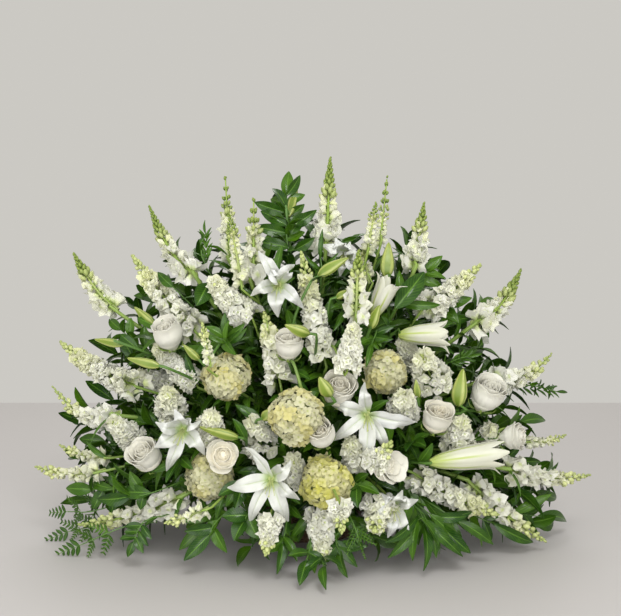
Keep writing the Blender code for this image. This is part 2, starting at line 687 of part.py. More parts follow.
def free_direction(wish, taken):
    """The direction nearest to the wish that keeps its distance from those taken."""
    rise = math.asin(wish.z)
    turn = math.atan2(wish.y, wish.x)
    options = []
    for up in range(-8, 9):
        for round_ in range(-16, 17):
            high = rise + up * math.radians(4.0)
            wide = turn + round_ * math.radians(4.0)
            if not LOWEST_STUB * 0.9 <= high <= math.radians(84.0):
                continue
            way = Vector((math.cos(wide) * math.cos(high), math.sin(wide) * math.cos(high),
                          math.sin(high)))
            options.append((wish.angle(way), way))
    options.sort(key=lambda option: option[0])
    for _turned, way in options:
        if all(way.angle(other) > STUB_APART for other in taken):
            return way
    return wish


def routes(start, end):
    """Stem paths to try between two points: the straight one, then wider and wider bends."""
    along = (end - start).normalized()
    side = along.orthogonal().normalized()
    up = along.cross(side)
    made = [[start, end]]
    for reach in (0.010, 0.020, 0.032, 0.046, 0.062, 0.080, 0.100, 0.125):
        for share in (0.5, 0.72, 0.3):
            for i in range(8):
                angle = math.pi * i / 4.0
                bend = (side * math.cos(angle) + up * math.sin(angle)) * reach
                made.append([start, start.lerp(end, share) + bend, end])
    return made


def stub_path(way):
    """The straight foot of a stem, from inside the foam to where it may branch."""
    return [HUB + way * STUB_START, HUB + way * CROTCH]


# Nodes made of many pieces.

def fused(name, solids, finish):
    """One body from overlapping solids by a single union, with fewer of them if that fails."""
    kept = list(solids)
    while True:
        for solver in ("EXACT", "MANIFOLD"):
            for merge in (MERGE, MERGE * 0.05):
                body = union(name, kept, solver, merge)
                if sound(body):
                    coat(body, finish)
                    return body
                bpy.data.objects.remove(body)
        print("one piece fewer in", name)
        kept.pop()


def coat(body, finish):
    """Give a body its one surface."""
    body.data.materials.clear()
    body.data.materials.append(finish)
    for face in body.data.polygons:
        face.material_index = 0


def union(name, solids, solver, merge):
    """The union of solids with one collection operand, cleaned to its largest body."""
    body = mesh_object(name, solids[0])
    if len(solids) > 1:
        group = bpy.data.collections.new(name + "_pieces")
        for i, solid in enumerate(solids[1:]):
            piece = mesh_object(name + "_piece_%d" % i, solid)
            group.objects.link(piece)
        joint = body.modifiers.new("join", "BOOLEAN")
        joint.operation = "UNION"
        joint.operand_type = "COLLECTION"
        joint.collection = group
        joint.solver = solver
        bpy.context.view_layer.objects.active = body
        bpy.ops.object.modifier_apply(modifier="join")
        for piece in list(group.objects):
            bpy.data.objects.remove(piece)
        bpy.data.collections.remove(group)
    clean(body.data, merge)
    return body


def clean(mesh, merge):
    """Triangles only, no slivers of no area, and the largest body alone."""
    net = bmesh.new()
    net.from_mesh(mesh)
    bmesh.ops.remove_doubles(net, verts=net.verts, dist=merge)
    bmesh.ops.dissolve_degenerate(net, edges=net.edges, dist=merge)
    bmesh.ops.triangulate(net, faces=net.faces)
    keep = largest_body(net)
    bmesh.ops.delete(net, geom=[f for f in net.faces if f not in keep], context="FACES")
    loose = [v for v in net.verts if not v.link_faces]
    bmesh.ops.delete(net, geom=loose, context="VERTS")
    net.to_mesh(mesh)
    net.free()


def largest_body(net):
    """The faces of the connected body with the most faces."""
    seen = set()
    best = set()
    for first in net.faces:
        if first in seen:
            continue
        body = {first}
        front = [first]
        while front:
            face = front.pop()
            for edge in face.edges:
                for near in edge.link_faces:
                    if near not in body:
                        body.add(near)
                        front.append(near)
        seen |= body
        if len(body) > len(best):
            best = body
    return best


def sound(body):
    """Whether every edge of a body lies between two faces."""
    net = bmesh.new()
    net.from_mesh(body.data)
    good = len(net.faces) > 0 and all(len(edge.link_faces) == 2 for edge in net.edges)
    net.free()
    return good


# Basket, liner and foam.

def revolved(profile, columns, relief=0.0):
    """A solid of revolution whose profile runs from the outer bottom over the rim to the inside."""
    rings = []
    for row, (radius, height, woven) in enumerate(profile):
        one = []
        for i in range(columns):
            angle = 2.0 * math.pi * i / columns
            wave = relief if (i + row) % 2 else -relief
            far = radius + (wave if woven else 0.0)
            one.append(Vector((far * math.cos(angle), far * math.sin(angle), height)))
        rings.append(one)
    low = Vector((0.0, 0.0, profile[0][1]))
    high = Vector((0.0, 0.0, profile[-1][1]))
    return outward_facing(skin(rings, low, high))


def basket():
    """A low round willow basket with over-and-under weave and a thick rolled rim."""
    profile = [(BASE_RADIUS - 0.004, 0.0, False)]
    for row in range(WEAVE_ROWS + 1):
        share = row / WEAVE_ROWS
        radius = BASE_RADIUS + (RIM_RADIUS - BASE_RADIUS) * share
        profile.append((radius, 0.006 + (RIM_HEIGHT - 0.022) * share, True))
    profile.append((RIM_RADIUS + 0.006, RIM_HEIGHT - 0.010, False))
    profile.append((RIM_RADIUS + 0.004, RIM_HEIGHT - 0.001, False))
    profile.append((RIM_RADIUS - 0.005, RIM_HEIGHT, False))
    profile.append((RIM_RADIUS - WALL, RIM_HEIGHT - 0.008, False))
    profile.append((BASE_RADIUS - WALL, 0.010, False))
    made = mesh_object("basket", revolved(profile, BASKET_COLUMNS, WEAVE_RELIEF))
    made.data.materials.append(material("willow", WILLOW_BROWN, 0.7))
    return made


def inner_radius(height):
    """The inside radius of the basket wall at a height."""
    share = (height - 0.010) / (RIM_HEIGHT - 0.008 - 0.010)
    return BASE_RADIUS - WALL + (RIM_RADIUS - BASE_RADIUS) * share


def liner():
    """The thin dish that keeps the water of the foam in the basket."""
    top = RIM_HEIGHT - LINER_DROP
    low = 0.010 + SEAT_GAP
    chord = math.cos(math.pi / BASKET_COLUMNS)
    outer_low = inner_radius(low) * chord - 0.0010
    outer_top = inner_radius(top) * chord - 0.0010
    profile = ((outer_low, low, False), (outer_top, top, False),
               (outer_top - LINER_WALL, top, False), (outer_low - LINER_WALL, low + LINER_WALL, False))
    made = mesh_object("liner", revolved(profile, BASKET_COLUMNS))
    made.data.materials.append(material("liner_plastic", LINER_BLACK, 0.45))
    return made


def foam(ways):
    """The foam dome, with a plain hole for the foot of every stem."""
    low = 0.010 + SEAT_GAP + LINER_WALL + SEAT_GAP
    lower = inner_radius(low) * 0.90 - 0.004
    profile = [(lower, low, False), (FOAM_RADIUS, 0.120, False)]
    for share in (0.35, 0.7):
        angle = share * math.pi / 2.0
        profile.append((FOAM_RADIUS * math.cos(angle), 0.13 + (FOAM_TOP - 0.13) * math.sin(angle), False))
    solid = revolved(profile, FOAM_COLUMNS)
    solid[0][-1].z = FOAM_TOP
    body = mesh_object("foam", solid)
    group = bpy.data.collections.new("foam_cutters")
    half_diagonal = (STUB_RADIUS + HOLE_CLEAR) * math.sqrt(2.0)
    for i, way in enumerate(ways):
        path = [HUB + way * (STUB_START - HOLE_CLEAR), HUB + way * (FOAM_RADIUS + 0.02)]
        group.objects.link(mesh_object("foam_cutter_%d" % i, tube(path, (half_diagonal,) * 2, 4)))
    cut = body.modifiers.new("holes", "BOOLEAN")
    cut.operation = "DIFFERENCE"
    cut.operand_type = "COLLECTION"
    cut.collection = group
    cut.solver = "EXACT"
    bpy.context.view_layer.objects.active = body
    bpy.ops.object.modifier_apply(modifier="holes")
    for piece in list(group.objects):
        bpy.data.objects.remove(piece)
    bpy.data.collections.remove(group)
    clean(body.data, MERGE)
    coat(body, material("floral_foam", FOAM_GREEN, 0.95))
    return body


# Leaves.

def frond(path, base, tip, leaf_size, normal, reaches):
    """A twig with its leaves as one body: each pair fans out from two stations of the twig.

    The path leads to the base. A reach of one gives a leaf its full length, and a reach of
    nought leaves the twig bare there.
    """
    length, width = leaf_size
    along = (tip - base).normalized()
    across = along.cross(normal).normalized()
    face = across.cross(along)
    rows = []
    for i, point in enumerate(path):
        way = (path[min(i + 1, len(path) - 1)] - path[max(i - 1, 0)]).normalized()
        side = (across - way * across.dot(way)).normalized()
        rows.append(twig_row(point, side, side.cross(way)))
    pairs = (len(reaches) - 1) // 2
    span = (tip - base).length
    step = span / (pairs + 0.6)
    for i in range(pairs):
        root = base + along * (step * (i + 0.6))
        rows.append(twig_row(root - along * (width * 0.25), across, face))
        belly = twig_row(root, across, face)
        tips = twig_row(root + along * (width * 0.3), across, face)
        for place, side, reach in ((0, -1.0, reaches[2 * i]), (2, 1.0, reaches[2 * i + 1])):
            if reach > 0.0:
                size = length * reach
                way = (along * 0.66 + across * (0.74 * side) + face * 0.10).normalized()
                back = (along * 0.74 - across * (0.66 * side)).normalized()
                belly[place] = root + way * (size * 0.46) - back * (width * 0.55)
                tips[place] = root + way * size - face * (size * 0.10)
        rows += [belly, tips]
    rows.append(twig_row(tip - along * 0.004, across, face))
    size = length * max(reaches[-1], 0.10)
    middle = tip + along * (size * 0.42) + face * (size * 0.03)
    half = width * 0.5 if reaches[-1] > 0.0 else TWIG_RADIUS
    rows.append([middle - across * half, middle - face * (LEAF_THICK * 0.6),
                 middle + across * half, middle + face * (LEAF_THICK * 0.5)])
    return outward_facing(skin(rows[1:], path[0], tip + along * size - face * (size * 0.08)))


def twig_row(point, side, face):
    """The four points of a twig at one station: left, keel, right and top."""
    return [point - side * TWIG_RADIUS, point - face * TWIG_RADIUS,
            point + side * TWIG_RADIUS, point + face * (TWIG_RADIUS * 0.7)]


class Arrangement:
    """Everything that grows out of the foam, built in order so that nothing crosses."""

    def __init__(self):
        self.taken = []
        self.ends = {}
        self.trees = {}
        self.ways = {}
        self.solids = {}
        self.starts = {}

    def block(self, node, solid):
        """Remember the surface of a solid as part of a node."""
        self.trees.setdefault(node, []).append(tree(solid))

    def others(self, node):
        """The surfaces of every other node."""
        return [one for name, many in self.trees.items() if name != node for one in many]

    def place_heads(self):
        """Find the room of every bloom, those nearest to the viewer first."""
        for entry in STARS:
            self.ends[entry[0]] = settle(lambda s, e=entry: star_head(e, s), self.taken)[0]
        for entry in TRUMPETS:
            self.ends[entry[0]] = settle(lambda s, e=entry: trumpet_head(e, s), self.taken)[0]
        for entry in ROSES:
            self.ends[entry[0]] = settle(lambda s, e=entry: rose_head(e, s), self.taken)[0]
        for entry in HYDRANGEAS:
            self.ends[entry[0]] = settle(lambda s, e=entry: hydrangea_head(e, s), self.taken)[0]
        for i, entry in enumerate(BUDS):
            self.ends[i, "bud"] = settle(lambda s, e=entry: bud_head(e, s), self.taken)[0]
        for i, entry in enumerate(SPIKES):
            self.ends[i, "spike"] = settle(lambda s, e=entry: spike_head(e, s), self.taken)[0]

    def build_heads(self):
        """Make the separate white blooms and remember the surfaces of all the others."""
        for entry in STARS:
            throat = self.ends[entry[0]][0]
            body = fused(entry[0], star_solids(entry, throat), material(entry[0], PETAL_WHITE, 0.5))
            self.trees[entry[0]] = [BVHTree.FromObject(body, bpy.context.evaluated_depsgraph_get())]
        for entry in TRUMPETS:
            self.whole(entry[0], trumpet_solid(entry, *self.ends[entry[0]]), PETAL_WHITE)
        for entry in ROSES:
            self.whole(entry[0], rose_solid(entry, *self.ends[entry[0]]), ROSE_CREAM)
        for entry in HYDRANGEAS:
            lime = entry[0] == "hydrangea_front"
            colour = HYDRANGEA_LIME if lime else HYDRANGEA_CREAM
            self.whole(entry[0], hydrangea_solid(entry, *self.ends[entry[0]]), colour)
        for i, entry in enumerate(SPIKES):
            self.block(entry[0], spike_solid(entry, self.ends[i, "spike"], []))
        for i, entry in enumerate(BUDS):
            solid = bud_solid(entry, *self.ends[i, "bud"])
            self.block("foliage_" + entry[4], solid)
            self.solids.setdefault("foliage_" + entry[4], []).append(solid)

    def whole(self, name, solid, colour):
        """Make a node of one solid."""
        made = mesh_object(name, solid)
        made.data.materials.append(material(name, colour, 0.5))
        self.block(name, solid)

    def give_stubs(self):
        """Share out the directions in which the nodes leave the foam."""
        spots = {}
        for i, entry in enumerate(SPIKES):
            spots.setdefault(entry[0], []).append(self.ends[i, "spike"][0])
        for name in BUNCHES:
            spots["foliage_" + name] = [spot for spot, _way in self.seats(name)]
        spots["foliage_back"] = [Vector((0.0, 0.35, 0.30))]
        for node, many in spots.items():
            middle = sum(many, Vector()) / len(many)
            self.ways[node] = free_direction(stub_direction(middle), list(self.ways.values()))

    def seats(self, bunch):
        """The ends that the stems of a bunch run to, with the way in which each bloom points."""
        made = []
        for entry in ROSES + HYDRANGEAS:
            if entry[6] == bunch:
                made.append(self.ends[entry[0]])
        for entry in STARS:
            if entry[3] == bunch:
                throat = self.ends[entry[0]][0]
                made.append((throat + Vector((0.0, 0.040, -0.005)), self.star_back()))
        for entry in TRUMPETS:
            if entry[6] == bunch:
                base, mouth = self.ends[entry[0]]
                made.append((base, (mouth - base).normalized()))
        for i, entry in enumerate(BUDS):
            if entry[4] == bunch:
                base, tip = self.ends[i, "bud"]
                made.append((base, (tip - base).normalized()))
        return made

    @staticmethod
    def star_back():
        """The direction of the tube behind an open lily."""
        return Vector((0.0, -0.024, 0.003)).normalized()

    def build_spikes(self):
        """Each spike with its stem, joined to the others that share its foot."""
        done = set()
        for i, entry in enumerate(SPIKES):
            node = entry[0]
            way = self.ways[node]
            foot = stub_path(way)
            base, tip = self.ends[i, "spike"]
            first = node not in done
            done.add(node)
            start = foot[1] if first else foot[1] - way * 0.012
            chosen = self.spike_route(entry, (base, tip), start, foot[0] if first else None)
            self.solids.setdefault(node, []).append(chosen)
            self.block(node, chosen)

    def spike_route(self, entry, ends, start, foot):
        """A spike whose stem is bent clear of every other node."""
        tail = [foot] if foot is not None else []
        plain = None
        back = (ends[0] - ends[1]).normalized()
        for path in routes(start, ends[0] + back * COLLAR):
            stem = list(reversed(path)) + tail
            solid = spike_solid(entry, ends, stem, foot is None)
            if plain is None:
                plain = solid
            if not crosses(solid, self.others(entry[0])):
                return solid
        print("no clear way for a stem of", entry[0])
        return plain

    def next_start(self, node):
        """The point inside the stub of a bunch from which its next stem grows."""
        self.starts[node] = self.starts.get(node, 0) + 1
        return HUB + self.ways[node] * (CROTCH - 0.0022 * (self.starts[node] % 17) - 0.002)

    def build_bunches(self):
        """The green bunches: stems to the blooms and buds, then the leafy sprays."""
        for name in BUNCHES:
            node = "foliage_" + name
            foot = stub_path(self.ways[node])
            pieces = [tube(foot, (STUB_RADIUS, STUB_RADIUS), 6)]
            self.block(node, pieces[0])
            pieces += self.solids.get(node, [])
            for seat, way in self.seats(name):
                pieces += self.bloom_stem(node, self.next_start(node), seat, way)
            self.solids[node] = pieces

    def bloom_stem(self, node, start, seat, way):
        """A stem that widens to a small flat collar just under a bloom, or ends inside a bud."""
        bud = any((seat - ends[0]).length < 1e-6 for key, ends in self.ends.items() if key[1] == "bud")
        top = seat + way * 0.004 if bud else seat - way * SEAT_GAP
        low = seat - way * COLLAR
        plain = None
        for path in routes(start, low):
            path = path + [top]
            sizes = [STEM_RADIUS] * (len(path) - 1) + [STEM_RADIUS if bud else STEM_RADIUS * 1.4]
            solid = tube(path, sizes, 4, True)
            plain = plain or solid
            if not crosses(solid, self.others(node)):
                break
        else:
            print("no clear way for a stem of", node)
            solid = plain
        self.block(node, solid)
        return [solid]

    def build_sprays(self):
        """Leafy sprays, each leaf left out where it would cross a bloom."""
        for bunch, low, high, length, width, pairs, low_scale, high_scale in SPRAYS:
            node = "foliage_" + bunch
            base = on_dome(low, low_scale, 0.012)
            tip = on_dome(high, high_scale, 0.008)
            shorter = base.lerp(tip, max(0.2, 1.0 - length * MM / max((tip - base).length, 0.001)))
            self.spray(node, base, shorter, length * MM, width * MM, pairs, outward(shorter))

    def build_back(self):
        """The leafy sprays that close the back."""
        node = "foliage_back"
        foot = stub_path(self.ways[node])
        self.solids[node] = [tube(foot, (STUB_RADIUS, STUB_RADIUS), 6)]
        self.block(node, self.solids[node][0])
        for azimuth, height, reach, length, width, pairs in BACK_SPRAYS:
            turn = math.radians(azimuth)
            level = Vector((math.cos(turn), math.sin(turn), 0.0))
            tip = level * ((reach - length) * MM) + Vector((0.0, 0.0, height * MM))
            base = HUB.lerp(tip, 0.62) + Vector((0.0, 0.0, 0.02))
            self.spray(node, base, tip, length * MM, width * MM, pairs, (level * 0.6 + Vector((0, 0, 0.8))))

    def spray(self, node, base, tip, length, width, pairs, normal):
        """One leafy spray, each leaf shortened or left out where it would cross a bloom."""
        start = self.next_start(node)
        others = self.others(node)
        normal = normal.normalized()
        reaches = [0.0] * (2 * pairs + 1)
        for path in routes(start, base):
            solid = frond(path, base, tip, (length, width), normal, reaches)
            if not crosses(solid, others):
                break
        else:
            print("spray left out of", node)
            return
        for i in range(len(reaches)):
            for reach in (1.0, 0.75, 0.5):
                tried = list(reaches)
                tried[i] = reach
                wider = frond(path, base, tip, (length, width), normal, tried)
                low = min(point.z for point in wider[0])
                if low > FLOOR_CLEAR * 0.4 and not crosses(wider, others):
                    reaches = tried
                    solid = wider
                    break
        self.block(node, solid)
        self.solids[node].append(solid)

    def join(self):
        """Fuse the pieces of every spike node and bunch."""
        for node, pieces in self.solids.items():
            green = node.startswith("foliage")
            colour = LEAF_GREEN if green else PETAL_WHITE
            fused(node, pieces, material(node, colour, 0.45 if green else 0.55))


def bud_head(entry, shift):
    """The ends of a lily bud and the balls that stand for it."""
    low, high, width, scale, _bunch = entry
    half = width * MM / 2.0
    base = on_dome(low, scale - 0.04, half, shift)
    tip = on_dome(high, scale, half, shift)
    points = [base.lerp(tip, share) for share in (0.05, 0.3, 0.5, 0.7, 0.9)]
    points.append(base - (tip - base).normalized() * COLLAR)
    return (base, tip), chain(points, [half * 0.6, half, half, half * 0.9, half * 0.5, COLLAR_ROOM])


def bud_solid(entry, base, tip):
    """A long closed lily bud."""
    half = entry[2] * MM / 2.0
    return spindle(base, tip, (half * 0.42, half * 0.96, half * 0.86), 5)


def main():
    """Build the whole object."""
    for old in list(bpy.data.objects):
        bpy.data.objects.remove(old)
    whole = basket()
    inner = liner()
    sheaf = Arrangement()
    deps = bpy.context.evaluated_depsgraph_get()
    sheaf.trees["basket"] = [BVHTree.FromObject(whole, deps)]
    sheaf.trees["liner"] = [BVHTree.FromObject(inner, deps)]
    sheaf.place_heads()
    sheaf.build_heads()
    sheaf.give_stubs()
    sheaf.build_spikes()
    sheaf.build_bunches()
    sheaf.build_sprays()
    sheaf.build_back()
    sheaf.join()
    foam(list(sheaf.ways.values()))


main()
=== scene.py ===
"""Looks of the funeral floor basket: every bloom, bud, leaf, stem and the woven basket.

Lengths are in metres and the plan lists in millimetres. The origin is on the floor under the
middle of the basket, +X is the viewer's right, +Y points away from the viewer and +Z is up.
A bloom is given by its place in the upright plane through the middle of the basket, and is
carried along its line of sight to the dome that the flowers form.
"""
import logging
import math
from dataclasses import dataclass, field
from enum import Enum
from typing import Any, Callable, Iterator, Optional, Sequence

import bpy
import numpy as np
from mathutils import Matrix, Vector
from mathutils.bvhtree import BVHTree
from numpy.typing import NDArray


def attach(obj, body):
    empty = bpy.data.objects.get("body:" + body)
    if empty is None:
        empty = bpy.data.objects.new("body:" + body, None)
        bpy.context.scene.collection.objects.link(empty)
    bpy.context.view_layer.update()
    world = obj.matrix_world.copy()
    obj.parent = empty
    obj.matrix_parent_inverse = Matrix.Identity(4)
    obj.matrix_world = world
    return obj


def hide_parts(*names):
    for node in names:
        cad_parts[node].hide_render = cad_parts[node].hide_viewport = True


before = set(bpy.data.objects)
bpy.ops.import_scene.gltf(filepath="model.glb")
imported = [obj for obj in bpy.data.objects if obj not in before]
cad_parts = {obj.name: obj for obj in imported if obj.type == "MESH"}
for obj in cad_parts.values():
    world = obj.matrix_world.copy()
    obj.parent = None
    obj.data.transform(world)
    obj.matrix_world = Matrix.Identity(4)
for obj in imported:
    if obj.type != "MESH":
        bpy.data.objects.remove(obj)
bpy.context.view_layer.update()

LOG = logging.getLogger("basket")
Array = NDArray[np.float64]
Random = np.random.Generator
Material = bpy.types.Material
Place = tuple[float, float]
Ball = tuple[Vector, float]
Head = tuple[Any, list[Ball]]
Stalk = tuple[Vector, Vector, Vector]
Colour = tuple[float, float, float]

MM = 0.001
GOLDEN = math.pi * (3.0 - math.sqrt(5.0))
ANY_TURN = 6.28
RIGHT, AWAY, UP = np.eye(3)

# Viewpoint and dome.
EYE = Vector((0.0, -3.0, 0.86))
DOME_CENTRE = Vector((0.0, 0.05, 0.10))
DOME_AXES = Vector((0.63, 0.42, 0.77))
FLOOR_CLEAR = 0.004

# Basket and foam.
BASE_RADIUS = 0.112
RIM_RADIUS = 0.146
RIM_HEIGHT = 0.138
FOAM_RADIUS = 0.118
FOAM_TOP = 0.215

# Stems.
HUB = Vector((0.0, 0.0, 0.135))
STUB_START = 0.070
CROTCH = 0.172
STEM_RADIUS = 0.0032
TWIG_RADIUS = 0.0022
STUB_RADIUS = 0.0046
STUB_APART = math.radians(12.5)
STUB_STEP = math.radians(4.0)
STEEPEST_STUB = math.radians(84.0)
LOWEST_AIM = math.radians(-35.0)
LOWEST_STUB = math.radians(9.0)
COLLAR = 0.016
COLLAR_ROOM = 0.008

# Blooms and leaves.
LILY_PETAL = 0.082
LILY_NECK = Vector((0.0, 0.040, -0.005))
PETAL_THICK = 0.0009
LEAF_THICK = 0.0008
LEAFLET_THICK = 0.0007
TALL_FROM = 540

# First seeds.
SPIKE_SEED = 100
ROSE_SEED = 300
HYDRANGEA_SEED = 400
STAR_SEED = 500
TRUMPET_SEED = 520
STEM_SEED = 600
SPRAY_SEED = 700
BACK_SEED = 800
LEAF_SEED = 850
THICKET_SEED = 900
TWIG_SEED = 1000


# Small vector helpers.

def unit(v: Array) -> Array:
    """The vectors of an array scaled to length one."""
    return v / np.maximum(np.linalg.norm(v, axis=-1, keepdims=True), 1e-12)


def arr(points: Sequence[Vector] | Vector) -> Array:
    """A vector or a list of vectors as an array."""
    return np.array(points, dtype=float)


def smoothstep(low: float, high: float, value: Array | float) -> Array:
    """The share of the way from low to high, eased at both ends: t*t*(3 - 2t)."""
    t = np.clip((np.asarray(value, dtype=float) - low) / (high - low), 0.0, 1.0)
    return t * t * (3.0 - 2.0 * t)


def turns(count: int) -> Array:
    """Even angles round a circle."""
    return 2.0 * math.pi * np.arange(count) / count


def spokes(side: Array, up: Array, angle: Array) -> Array:
    """Directions round an axis: side * cos(angle) + up * sin(angle)."""
    return side * np.cos(angle)[..., None] + up * np.sin(angle)[..., None]


def square(axis: Vector) -> tuple[Array, Array, Array]:
    """An axis and two directions square to it and to each other."""
    side = arr(axis.orthogonal().normalized())
    return arr(axis), side, np.cross(arr(axis), side)


def lifted(points: Array, low: float) -> Array:
    """Points, with those under a height brought up to it."""
    points[..., 2] = np.maximum(points[..., 2], low)
    return points


def length_of(line: Array) -> float:
    """The length of a line of points."""
    return float(np.linalg.norm(np.diff(line, axis=0), axis=1).sum())


def flowing(points: Array, count: int) -> Array:
    """A smooth curve through a few points.

    Each span is a Catmull-Rom cubic, and the curve is resampled evenly by its length.

    Args:
        points: The points to pass through, (..., k, 3).
        count: How many points to give back.

    Returns:
        The curve, (..., count, 3).
    """
    first = 2.0 * points[..., :1, :] - points[..., 1:2, :]
    last = 2.0 * points[..., -1:, :] - points[..., -2:-1, :]
    padded = np.concatenate([first, points, last], axis=-2)
    spans = points.shape[-2] - 1
    dense = 12
    t = np.arange(spans * dense + 1) / dense
    which = np.minimum(t.astype(int), spans - 1)
    s = (t - which)[:, None]
    a, b, c, d = (padded[..., which + i, :] for i in range(4))
    curve = 0.5 * (2.0 * b + (c - a) * s + (2.0 * a - 5.0 * b + 4.0 * c - d) * s ** 2
                   + (3.0 * b - a - 3.0 * c + d) * s ** 3)
    flat = curve.reshape(-1, curve.shape[-2], 3)
    steps = np.linalg.norm(np.diff(flat, axis=1), axis=2)
    far = np.concatenate([np.zeros((len(flat), 1)), np.cumsum(steps, axis=1)], axis=1)
    far /= far[:, -1:]
    even = np.linspace(0.0, 1.0, count)
    out = np.array([[np.interp(even, way, line[:, axis]) for axis in range(3)]
                    for way, line in zip(far, flat)]).transpose(0, 2, 1)
    return out.reshape(points.shape[:-2] + (count, 3))


def path_frames(path: Array) -> tuple[Array, Array, Array]:
    """Directions along and across paths.

    The side is square to the path and to the axis that the path follows least, so it never
    turns over.

    Args:
        path: The points, (k, m, 3).

    Returns:
        The tangent, side and up directions, each (k, m, 3).
    """
    tangent = unit(np.gradient(path, axis=1))
    least = np.abs(tangent.mean(axis=1)).argmin(axis=1)
    side = unit(np.cross(tangent, np.eye(3)[least][:, None, :]))
    return tangent, side, np.cross(tangent, side)


# Placing, by the same rule as the frame.

def on_dome(place: Place, scale: float, lift: float = 0.0, shift: float = 0.0) -> Vector:
    """The point on the scaled dome that the viewer sees at a place, kept clear of the floor.

    Args:
        place: Where it is in the upright plane through the basket.
        scale: The size of the dome as a share of its full size.
        lift: How far above the usual clearance it stays.
        shift: How far it is moved away along the line of sight.

    Returns:
        The point.
    """
    aim = Vector((place[0] * MM, 0.0, place[1] * MM)) - EYE
    flat_eye = Vector([(EYE - DOME_CENTRE)[i] / DOME_AXES[i] for i in range(3)])
    flat_aim = Vector([aim[i] / DOME_AXES[i] for i in range(3)])
    length = flat_aim.dot(flat_aim)
    middle = flat_eye.dot(flat_aim)
    rest = flat_eye.dot(flat_eye) - scale * scale
    travel = (-middle - math.sqrt(max(middle * middle - length * rest, 0.0))) / length
    travel += shift / aim.length
    floor = (EYE.z - FLOOR_CLEAR - lift) / -aim.z
    return EYE + aim * (floor if 0.0 < floor < travel else travel)


def outward(point: Vector) -> Vector:
    """The direction square to the dome at a point."""
    away = point - DOME_CENTRE
    return Vector([away[i] / DOME_AXES[i] ** 2 for i in range(3)]).normalized()


def heading(turn: float, rise: float) -> Vector:
    """The direction at an angle round the upright axis and one above the level."""
    return Vector((math.cos(turn) * math.cos(rise), math.sin(turn) * math.cos(rise), math.sin(rise)))


def facing(point: Vector, yaw: float, pitch: float) -> Vector:
    """A direction turned from the viewer's by a yaw to the right and a pitch up."""
    look = heading(math.radians(yaw) - math.pi / 2.0, math.radians(pitch))
    return (look + 0.35 * outward(point)).normalized()


def collar(base: Vector, tip: Vector) -> Vector:
    """The place on the stem of a bloom just under its base."""
    return base - (tip - base).normalized() * COLLAR


def spike_point(base: Vector, tip: Vector, share: float, bend: float = 0.05) -> Vector:
    """A point of the bent axis of a spike: a straight line plus a parabola that sags.

    Args:
        base: Where the axis starts.
        tip: Where it ends.
        share: The share of the way.
        bend: How far it sags, as a share of its level length.

    Returns:
        The point.
    """
    span = tip - base
    sag = Vector((0.0, 0.0, -bend * math.hypot(span.x, span.y)))
    return base.lerp(tip, share) + sag * (4.0 * share * (1.0 - share))


# Plan: a head is its two ends, or its seat and axis, with the balls that stand for it.

class SpikeKind(Enum):
    """The sorts of flower spike."""

    SNAP = "open snapdragon"
    STOCK = "double stock"
    BUDDED = "spike still in bud"


class LeafKind(Enum):
    """The sorts of leaf that the sprays carry."""

    BROAD = "broad and glossy"
    LANCE = "long and narrow"
    SPRIG = "many small leaves"
    FERN = "divided into leaflets"


@dataclass(frozen=True)
class Spike:
    """A flower spike."""

    node: str
    kind: SpikeKind
    low: Place
    high: Place
    half: float
    low_scale: float
    high_scale: float

    def head(self, shift: float) -> Head:
        """The head, moved along the line of sight.

        Args:
            shift: How far it is moved away from the viewer.

        Returns:
            Its ends, or its seat and axis, and the balls that stand for it.
        """
        half = self.half * MM
        base = on_dome(self.low, self.low_scale, half * 0.9, shift)
        tip = on_dome(self.high, self.high_scale, half * 0.3, shift)
        count = max(3, int((tip - base).length / (half * 0.8)) + 1)
        shares = [i / (count - 1) * 0.92 for i in range(count)]
        points = [spike_point(base, tip, share) for share in shares] + [collar(base, tip)]
        radii = [half * (1.0 - 0.6 * share) for share in shares] + [COLLAR_ROOM]
        return (base, tip), list(zip(points, radii))


class Wide:
    """A bloom that is given by its width."""

    @property
    def half(self) -> float:
        """Half its width in metres."""
        return self.width * MM / 2.0


@dataclass(frozen=True)
class Round(Wide):
    """A hydrangea or a rose, whose balls have places along the axis and radii in half widths."""

    node: str
    place: Place
    width: float
    scale: float
    yaw: float
    pitch: float
    bunch: str
    balls = ((0.0, 1.0),)

    def head(self, shift: float) -> Head:
        """The head, moved along the line of sight.

        Args:
            shift: How far it is moved away from the viewer.

        Returns:
            Its ends, or its seat and axis, and the balls that stand for it.
        """
        middle = on_dome(self.place, self.scale, self.half, shift)
        axis = facing(middle, self.yaw, self.pitch)
        seat = middle - axis * self.half
        body = [(middle + axis * self.half * far, self.half * wide) for far, wide in self.balls]
        return (seat, axis), body + [(seat - axis * COLLAR, COLLAR_ROOM)]

    def stalk(self, seat: Vector, axis: Vector) -> Stalk:
        """Where its stem is led to, the way it points there, and its tip."""
        return seat, axis, seat + axis * 0.01


@dataclass(frozen=True)
class Rose(Round):
    """A rose: also how far it is open, its blush, and the yaw and pitch at which it is seen."""

    open: float
    blush: float
    look: Place
    balls = ((-0.2, 0.95), (0.15, 0.92))

    def turned(self, seat: Vector, axis: Vector) -> tuple[Vector, Vector]:
        """Turn its petals about the middle of its head.

        Args:
            seat: The seat of its head.
            axis: The axis of its head.

        Returns:
            The seat and axis of its petals.
        """
        middle = seat + axis * self.half
        look = facing(middle, *self.look)
        return middle - look * self.half, look

    def stalk(self, seat: Vector, axis: Vector) -> Stalk:
        """Where its stem is led to, the way it points there, and its tip."""
        return seat, axis, self.turned(seat, axis)[0]


